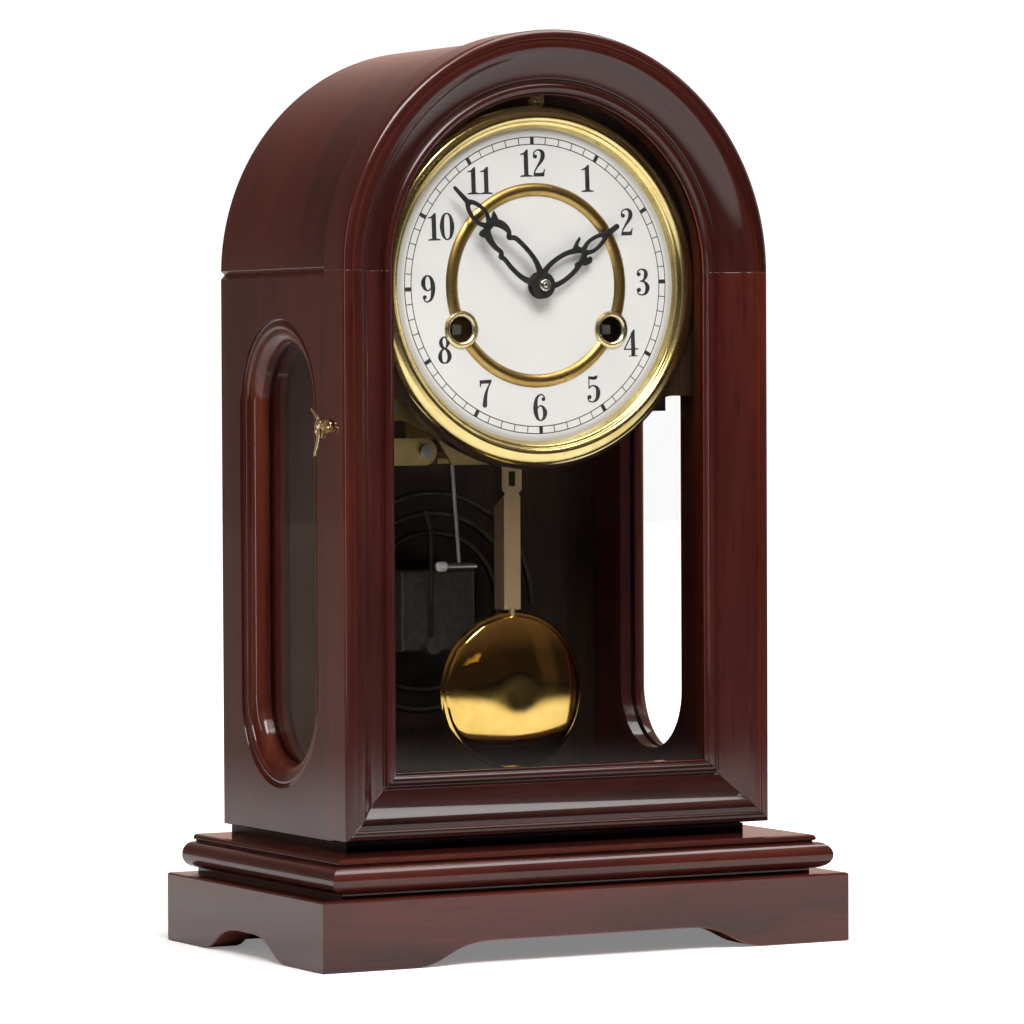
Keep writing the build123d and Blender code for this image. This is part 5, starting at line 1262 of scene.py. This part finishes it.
bezelProfile = [(76.0, -31.4), (84.6, -31.4), (84.95, -31.6), (85.0, -32.1)]
bezelProfile += arcPoints((85.0, -32.1), (83.2, -35.6), (80.2, -36.95), 16)[1:]
bezelProfile += arcPoints((80.2, -36.95), (78.2, -37.1), (76.9, -36.4), 8)[1:] + [(76.6, -35.9), (76.3, -35.6)]
bezelProfile += arcPoints((76.3, -35.6), (75.0, -35.0), (74.4, -33.8), 8)[1:]
bezelProfile += [(73.3, -32.06), (73.3, -31.7), (76.0, -31.6)]
bezel = lathe("dialBezel", bezelProfile, (0, dial["z"]), bezelBrass, 240, 34)
finish(bezel, "case", "polished_brass", "bezel")

colletProfile = [(6.2, -31.6), (6.2, -32.55)] + arcPoints((6.2, -32.55), (7.0, -33.1), (7.9, -32.95), 5)[1:]
colletProfile += arcPoints((7.9, -32.95), (8.6, -32.7), (8.9, -32.05), 4)[1:] + [(8.9, -31.6)]
winding = {"across": 40.0, "z": 290.6}
collets = [lathe("collet", colletProfile, (side * winding["across"], winding["z"]), paleBrass, 56, 34)
           for side in (-1, 1)]
finish(joined("windingCollets", collets), "case", "polished_brass", "winding_collets")

nutProfile = [(3.0, -39.12), (3.0, -40.3)] + arcPoints((3.0, -40.3), (2.7, -41.2), (1.75, -41.5), 5)[1:]
nutProfile += [(1.6, -41.45), (1.45, -41.1), (1.4, -40.6), (1.2, -41.55), (0.8, -41.78), (0, -41.8)]
handNut = lathe("handNut", [(0, -39.12)] + nutProfile, (0, dial["z"]), nutMetal, 40, 34)
finish(handNut, "minute_group", "steel", "hand_nut")

bobRing = {"centre": 119.0, "front": -13.0, "back": 1.0}
bobProfile = [(0, bobRing["front"])]
bobProfile += arcPoints((4.0, -12.99), (21.0, -12.1), (34.6, -9.0), 16)
bobProfile += [(35.3, -8.6), (35.6, -7.9), (35.9, -7.3), (36.6, -7.2), (37.3, -6.9)]
bobProfile += arcPoints((37.3, -6.9), (38.0, -5.6), (37.6, -4.0), 5)[1:]
bobProfile += arcPoints((37.0, -2.6), (24.0, 0.4), (4.0, 0.99), 12) + [(0, bobRing["back"])]
bob = lathe("pendulumBob", bobProfile, (0, bobRing["centre"]), mirrorBrass, 200, 34)
finish(bob, "pendulum", "polished_brass", "pendulum_bob")
print("turned parts: bezel, collets, hand nut and bob")


# ---- hands

minuteHand = [
    ("disc", (0, 0, 6.3)),
    ("stroke", [(-3.0, 4.4, 3.6), (-5.4, 11, 2.5), (-5.9, 18, 2.3), (-5.6, 23, 2.2), (-6.2, 25.2, 2.4),
                (-4.6, 26.6, 2.3), (-5.0, 31, 2.6), (-4.0, 36.5, 3.6), (-1.2, 40.6, 3.4)]),
    ("stroke", [(3.0, 4.4, 3.6), (5.4, 11, 2.5), (6.1, 18, 2.3), (5.6, 25.5, 2.3), (3.4, 28.4, 2.4),
                (5.2, 30.2, 2.3), (5.4, 33.5, 3.4), (4.2, 37, 3.8), (1.2, 40.8, 3.4)]),
    ("polygon", [(-4.8, 36.2), (-6.6, 38.6), (-6.9, 40.6), (-5.2, 41.4), (-2.2, 40.6)]),
    ("polygon", [(4.8, 36.6), (6.4, 40.6), (6.8, 42.9), (5.4, 42.6), (2.2, 41.0)]),
    ("bar", [(-2.4, 39.2, 2.8), (2.4, 39.2, 2.8)]),
    ("stroke", [(-0.7, 40.2, 2.8), (-2.9, 44.0, 2.0), (-3.4, 48, 1.9), (-2.3, 52.4, 2.1), (-0.3, 55.4, 2.3)]),
    ("stroke", [(0.7, 40.2, 2.8), (2.9, 44.0, 2.0), (3.4, 48, 1.9), (2.3, 52.4, 2.1), (0.3, 55.4, 2.3)]),
    ("bar", [(0, 54.5, 2.6), (0, 64.6, 1.7)]),
]
hourHand = [
    ("disc", (0, 0, 6.5)),
    ("stroke", [(-3.2, 3.6, 3.4), (-4.9, 8.5, 2.5), (-5.3, 14, 2.3), (-4.6, 20, 2.4), (-2.6, 25.6, 2.8),
                (-0.6, 28.6, 2.9)]),
    ("stroke", [(3.2, 3.6, 3.4), (4.9, 8.5, 2.5), (5.3, 14, 2.3), (4.6, 20, 2.4), (2.6, 25.6, 2.8),
                (0.6, 28.6, 2.9)]),
    ("polygon", [(-3.8, 22.6), (-6.2, 27.0), (-7.3, 30.4), (-6.0, 30.2), (-4.3, 27.4), (-1.6, 28.0)]),
    ("polygon", [(3.8, 23.0), (5.9, 25.2), (6.6, 28.6), (5.6, 30.2), (4.6, 28.2), (1.6, 28.4)]),
    ("disc", (3.3, 22.0, 1.6)), ("disc", (4.6, 29.2, 1.2)),
    ("stroke", [(-0.6, 28.2, 2.8), (-2.3, 32, 2.0), (-2.5, 36, 1.9), (-1.5, 40.4, 2.2), (0, 42.8, 2.6)]),
    ("stroke", [(0.6, 28.2, 2.8), (2.3, 32, 2.0), (2.5, 36, 1.9), (1.5, 40.4, 2.2), (0, 42.8, 2.6)]),
    ("bar", [(0, 42, 2.8), (0, 49.8, 2.7)]),
]
handSteps = {"minuteTurn": 314.0, "hourTurn": 56.0, "minuteFront": -39.1, "hourFront": -36.1, "thick": 0.7,
             "bevel": 0.14, "grid": 0.16}


def buildHands():
    h = handSteps
    for name, parts, turn, front, body, node, reach in (
            ("minuteHand", minuteHand, h["minuteTurn"], h["minuteFront"], "minute_group", "minute_hand", 66),
            ("hourHand", hourHand, h["hourTurn"], h["hourFront"], "hour_group", "hour_hand", 53)):
        loops = outlines(parts, (-10, -8, 10, reach), h["grid"])
        place = onDial(front + h["thick"] / 2, turn)
        piece = flatPiece(name, loops, h["thick"], h["bevel"], place, blackPaint, 25)
        finish(piece, body, "black_paint", node)


buildHands()


# ---- latch

latch = {"plate": (-24.5, 245.0), "pivot": (-31.2, 247.0), "face": -109.5, "hook": -113.7,
         "rosette": 4.6, "holeCircle": 2.75, "hole": 0.85}


def onSide(x, y, z):
    # drawing plane on the left side: X towards the back, Y up
    return Matrix(((0, 0, 1, x * mm), (1, 0, 0, y * mm), (0, 1, 0, z * mm), (0, 0, 0, 1)))


rosetteParts = [("disc", (0, 0, latch["rosette"]))]
rosetteParts += [("hole", (latch["holeCircle"] * math.cos(a), latch["holeCircle"] * math.sin(a), latch["hole"]))
                 for a in (math.radians(d) for d in range(30, 390, 60))]
leverParts = [("bar", [(0.6, -0.6, 3.2), (-6.7, 2.0, 3.0)]), ("disc", (-6.7, 2.0, 2.3)), ("disc", (0.6, -0.6, 1.9))]
hookParts = [  # about the pivot: X towards the back, Y up
    ("disc", (0, 0, 2.5)),
    ("bar", [(0, -0.4, 2.6), (-7.6, -0.4, 2.2)]), ("disc", (-8.6, 0.3, 2.1)), ("disc", (-11.2, -0.1, 1.7)),
    ("stroke", [(0.4, 0, 2.8), (0.3, -4.6, 2.5), (1.8, -9.4, 2.2), (4.2, -13.6, 1.5)]), ("disc", (4.3, -13.7, 0.9)),
    ("stroke", [(0, 0.6, 2.8), (1.6, 3.4, 2.0), (4.6, 5.8, 1.7), (7.0, 7.2, 1.2)]),
    ("hole", (0, 0, 1.4)),
]


def buildLatch():
    (y, z), (pivotY, pivotZ), face = latch["plate"], latch["pivot"], latch["face"]
    plate = flatPiece("latchPlate", outlines(rosetteParts, (-6, -6, 6, 6), 0.12), 1.0, 0.15,
                      onSide(face - 0.5, y, z), paleBrass, 28)
    lever = flatPiece("lever", outlines(leverParts, (-11, -6, 4, 6), 0.12), 1.2, 0.2,
                      onSide(face - 1.6, y, z), paleBrass, 28)
    rivetLine = [(0, 0), (1.3, 0)] + arcPoints((1.3, -0.02), (1.0, -0.35), (0.02, -0.5), 6) + [(0, -0.5)]
    postLine = [(0, 0), (1.28, 0), (1.28, -2.6), (1.9, -2.7)]
    postLine += arcPoints((1.9, -2.8), (1.3, -3.3), (0.02, -3.5), 5) + [(0, -3.5)]
    rivet, post = (lathe("stem", line, (0, 0), paleBrass, 24, 40) for line in (rivetLine, postLine))
    for part, at in ((rivet, (face - 2.2, y + 0.6, z - 0.6)), (post, (face - 2.0, pivotY, pivotZ))):
        part.data.transform(Matrix.Translation(Vector(at) * mm) @ Matrix.Rotation(math.radians(-90), 4, "Z"))
    finish(joined("latchRosette", [plate, lever, rivet, post]), "case", "polished_brass", "latch_rosette")
    hook = flatPiece("latchHook", outlines(hookParts, (-15, -16, 10, 10), 0.14), 1.2, 0.22,
                     onSide(latch["hook"], pivotY, pivotZ), paleBrass, 28)
    finish(hook, "latch", "polished_brass", "latch_hook")


buildLatch()
print("fittings: hands and latch")


# ---- screws

def screwTree(name, material):
    # one cross-headed screw on each point, each turned its own way
    tree = newTree(name, [("Radius", "Float", 0.002), ("Rise", "Float", 0.0007), ("Slot", "Float", 0.0005),
                          ("Turn", "Vector", None), ("Seed", "Int", 3)])
    given = next(n for n in tree.nodes if n.bl_idname == "NodeGroupInput").outputs
    half = reckon(tree, "MULTIPLY", given["Rise"], 0.5)
    collar = treeNode(tree, "GeometryNodeMeshCylinder", Vertices=28, Radius=given["Radius"], Depth=given["Rise"])
    narrow = reckon(tree, "MULTIPLY", given["Radius"], 0.8)
    crown = treeNode(tree, "GeometryNodeMeshCone", Vertices=28, Radius_Top=narrow, Radius_Bottom=given["Radius"],
                     Depth=half)
    lift = treeNode(tree, "ShaderNodeCombineXYZ", X=0.0, Y=0.0, Z=half)
    raised = treeNode(tree, "GeometryNodeTransform", Geometry=crown.outputs[0], Translation=lift.outputs[0])
    solid = tree.nodes.new("GeometryNodeMeshBoolean")
    solid.operation = "UNION"
    for part in (collar.outputs[0], raised.outputs[0]):
        tree.links.new(part, solid.inputs["Mesh 2"])
    long = reckon(tree, "MULTIPLY", given["Radius"], 1.25)
    carve = tree.nodes.new("GeometryNodeMeshBoolean")
    carve.operation = "DIFFERENCE"
    tree.links.new(solid.outputs[0], carve.inputs["Mesh 1"])
    high = treeNode(tree, "ShaderNodeCombineXYZ", X=0.0, Y=0.0, Z=given["Rise"])
    for across, upright in ((long, given["Slot"]), (given["Slot"], long)):
        size = treeNode(tree, "ShaderNodeCombineXYZ", X=across, Y=upright, Z=given["Rise"])
        bar = treeNode(tree, "GeometryNodeMeshCube", Size=size.outputs[0])
        moved = treeNode(tree, "GeometryNodeTransform", Geometry=bar.outputs[0], Translation=high.outputs[0])
        tree.links.new(moved.outputs[0], carve.inputs["Mesh 2"])
    spin = tree.nodes.new("FunctionNodeRandomValue")
    spin.data_type = "FLOAT"
    spin.inputs[2].default_value = -0.9
    spin.inputs[3].default_value = 0.9
    tree.links.new(given["Seed"], spin.inputs["Seed"])
    own = treeNode(tree, "ShaderNodeCombineXYZ", X=0.0, Y=0.0, Z=spin.outputs[1])
    facing = treeNode(tree, "FunctionNodeRotateEuler", Rotation=own.outputs[0], Rotate_By=given["Turn"])
    copies = treeNode(tree, "GeometryNodeInstanceOnPoints", Points=given["Geometry"], Instance=carve.outputs[0],
                      Rotation=facing.outputs[0])
    closeTree(tree, copies.outputs[0], material)
    return tree


screws = {"radius": 2.1, "rise": 0.35, "slot": 0.6, "face": 83.4, "panelRows": (75.0, 190.0, 300.0),
          "panelHalf": 94.5, "arc": (45, 90, 135)}


def buildScrews():
    p = screws
    half, depth = p["panelHalf"], p["face"] - p["rise"]
    spots = [(s * half, depth, z) for s in (-1, 1) for z in p["panelRows"]]
    spots += [(half * math.cos(a), depth, roof["centre"] + half * math.sin(a)) for a in map(math.radians, p["arc"])]
    back = grown("panelScrews", screwTree("crossScrews", fittingBrass), {
        "Radius": p["radius"] * mm, "Rise": p["rise"] * mm, "Slot": p["slot"] * mm,
        "Turn": (-math.pi / 2, 0, 0), "Seed": 7}, spots)
    back.data.shade_flat()
    finish(back, "case", "polished_brass")


buildScrews()
print("screws on the back panel")


# ---- finishes on the parts kept as they are

finishes = {
    "inner_wood": innerStainAndShade, "dark_wood": plainWood, "polished_brass": fittingBrass, "rod_brass": rodBrass,
    "plate_brass": plateBrass, "steel": greySteel, "cast_iron": castIron, "black_paint": blackPaint,
    "dial_enamel": dialEnamel, "nylon": whiteNylon, "clear_glass": clearGlass,
}
# the case floor board gets the dark inside wood as painted shade for the shadowed strip under the case
special = {"dial_ring": ringBrass, "gong_coil": gongSteel, "case_floor": innerStainAndShade}


def dressNodes():
    slotOf = {part["node"]: part["material_slot"] for part in frame["record"]["subparts"]}
    for name, node in frame["nodes"].items():
        coat = special.get(name) or finishes[slotOf[name]]
        node.data.materials.clear()
        node.data.materials.append(coat)
        node.data.shade_smooth()


dressNodes()
print("finishes on", len(frame["nodes"]), "kept parts")
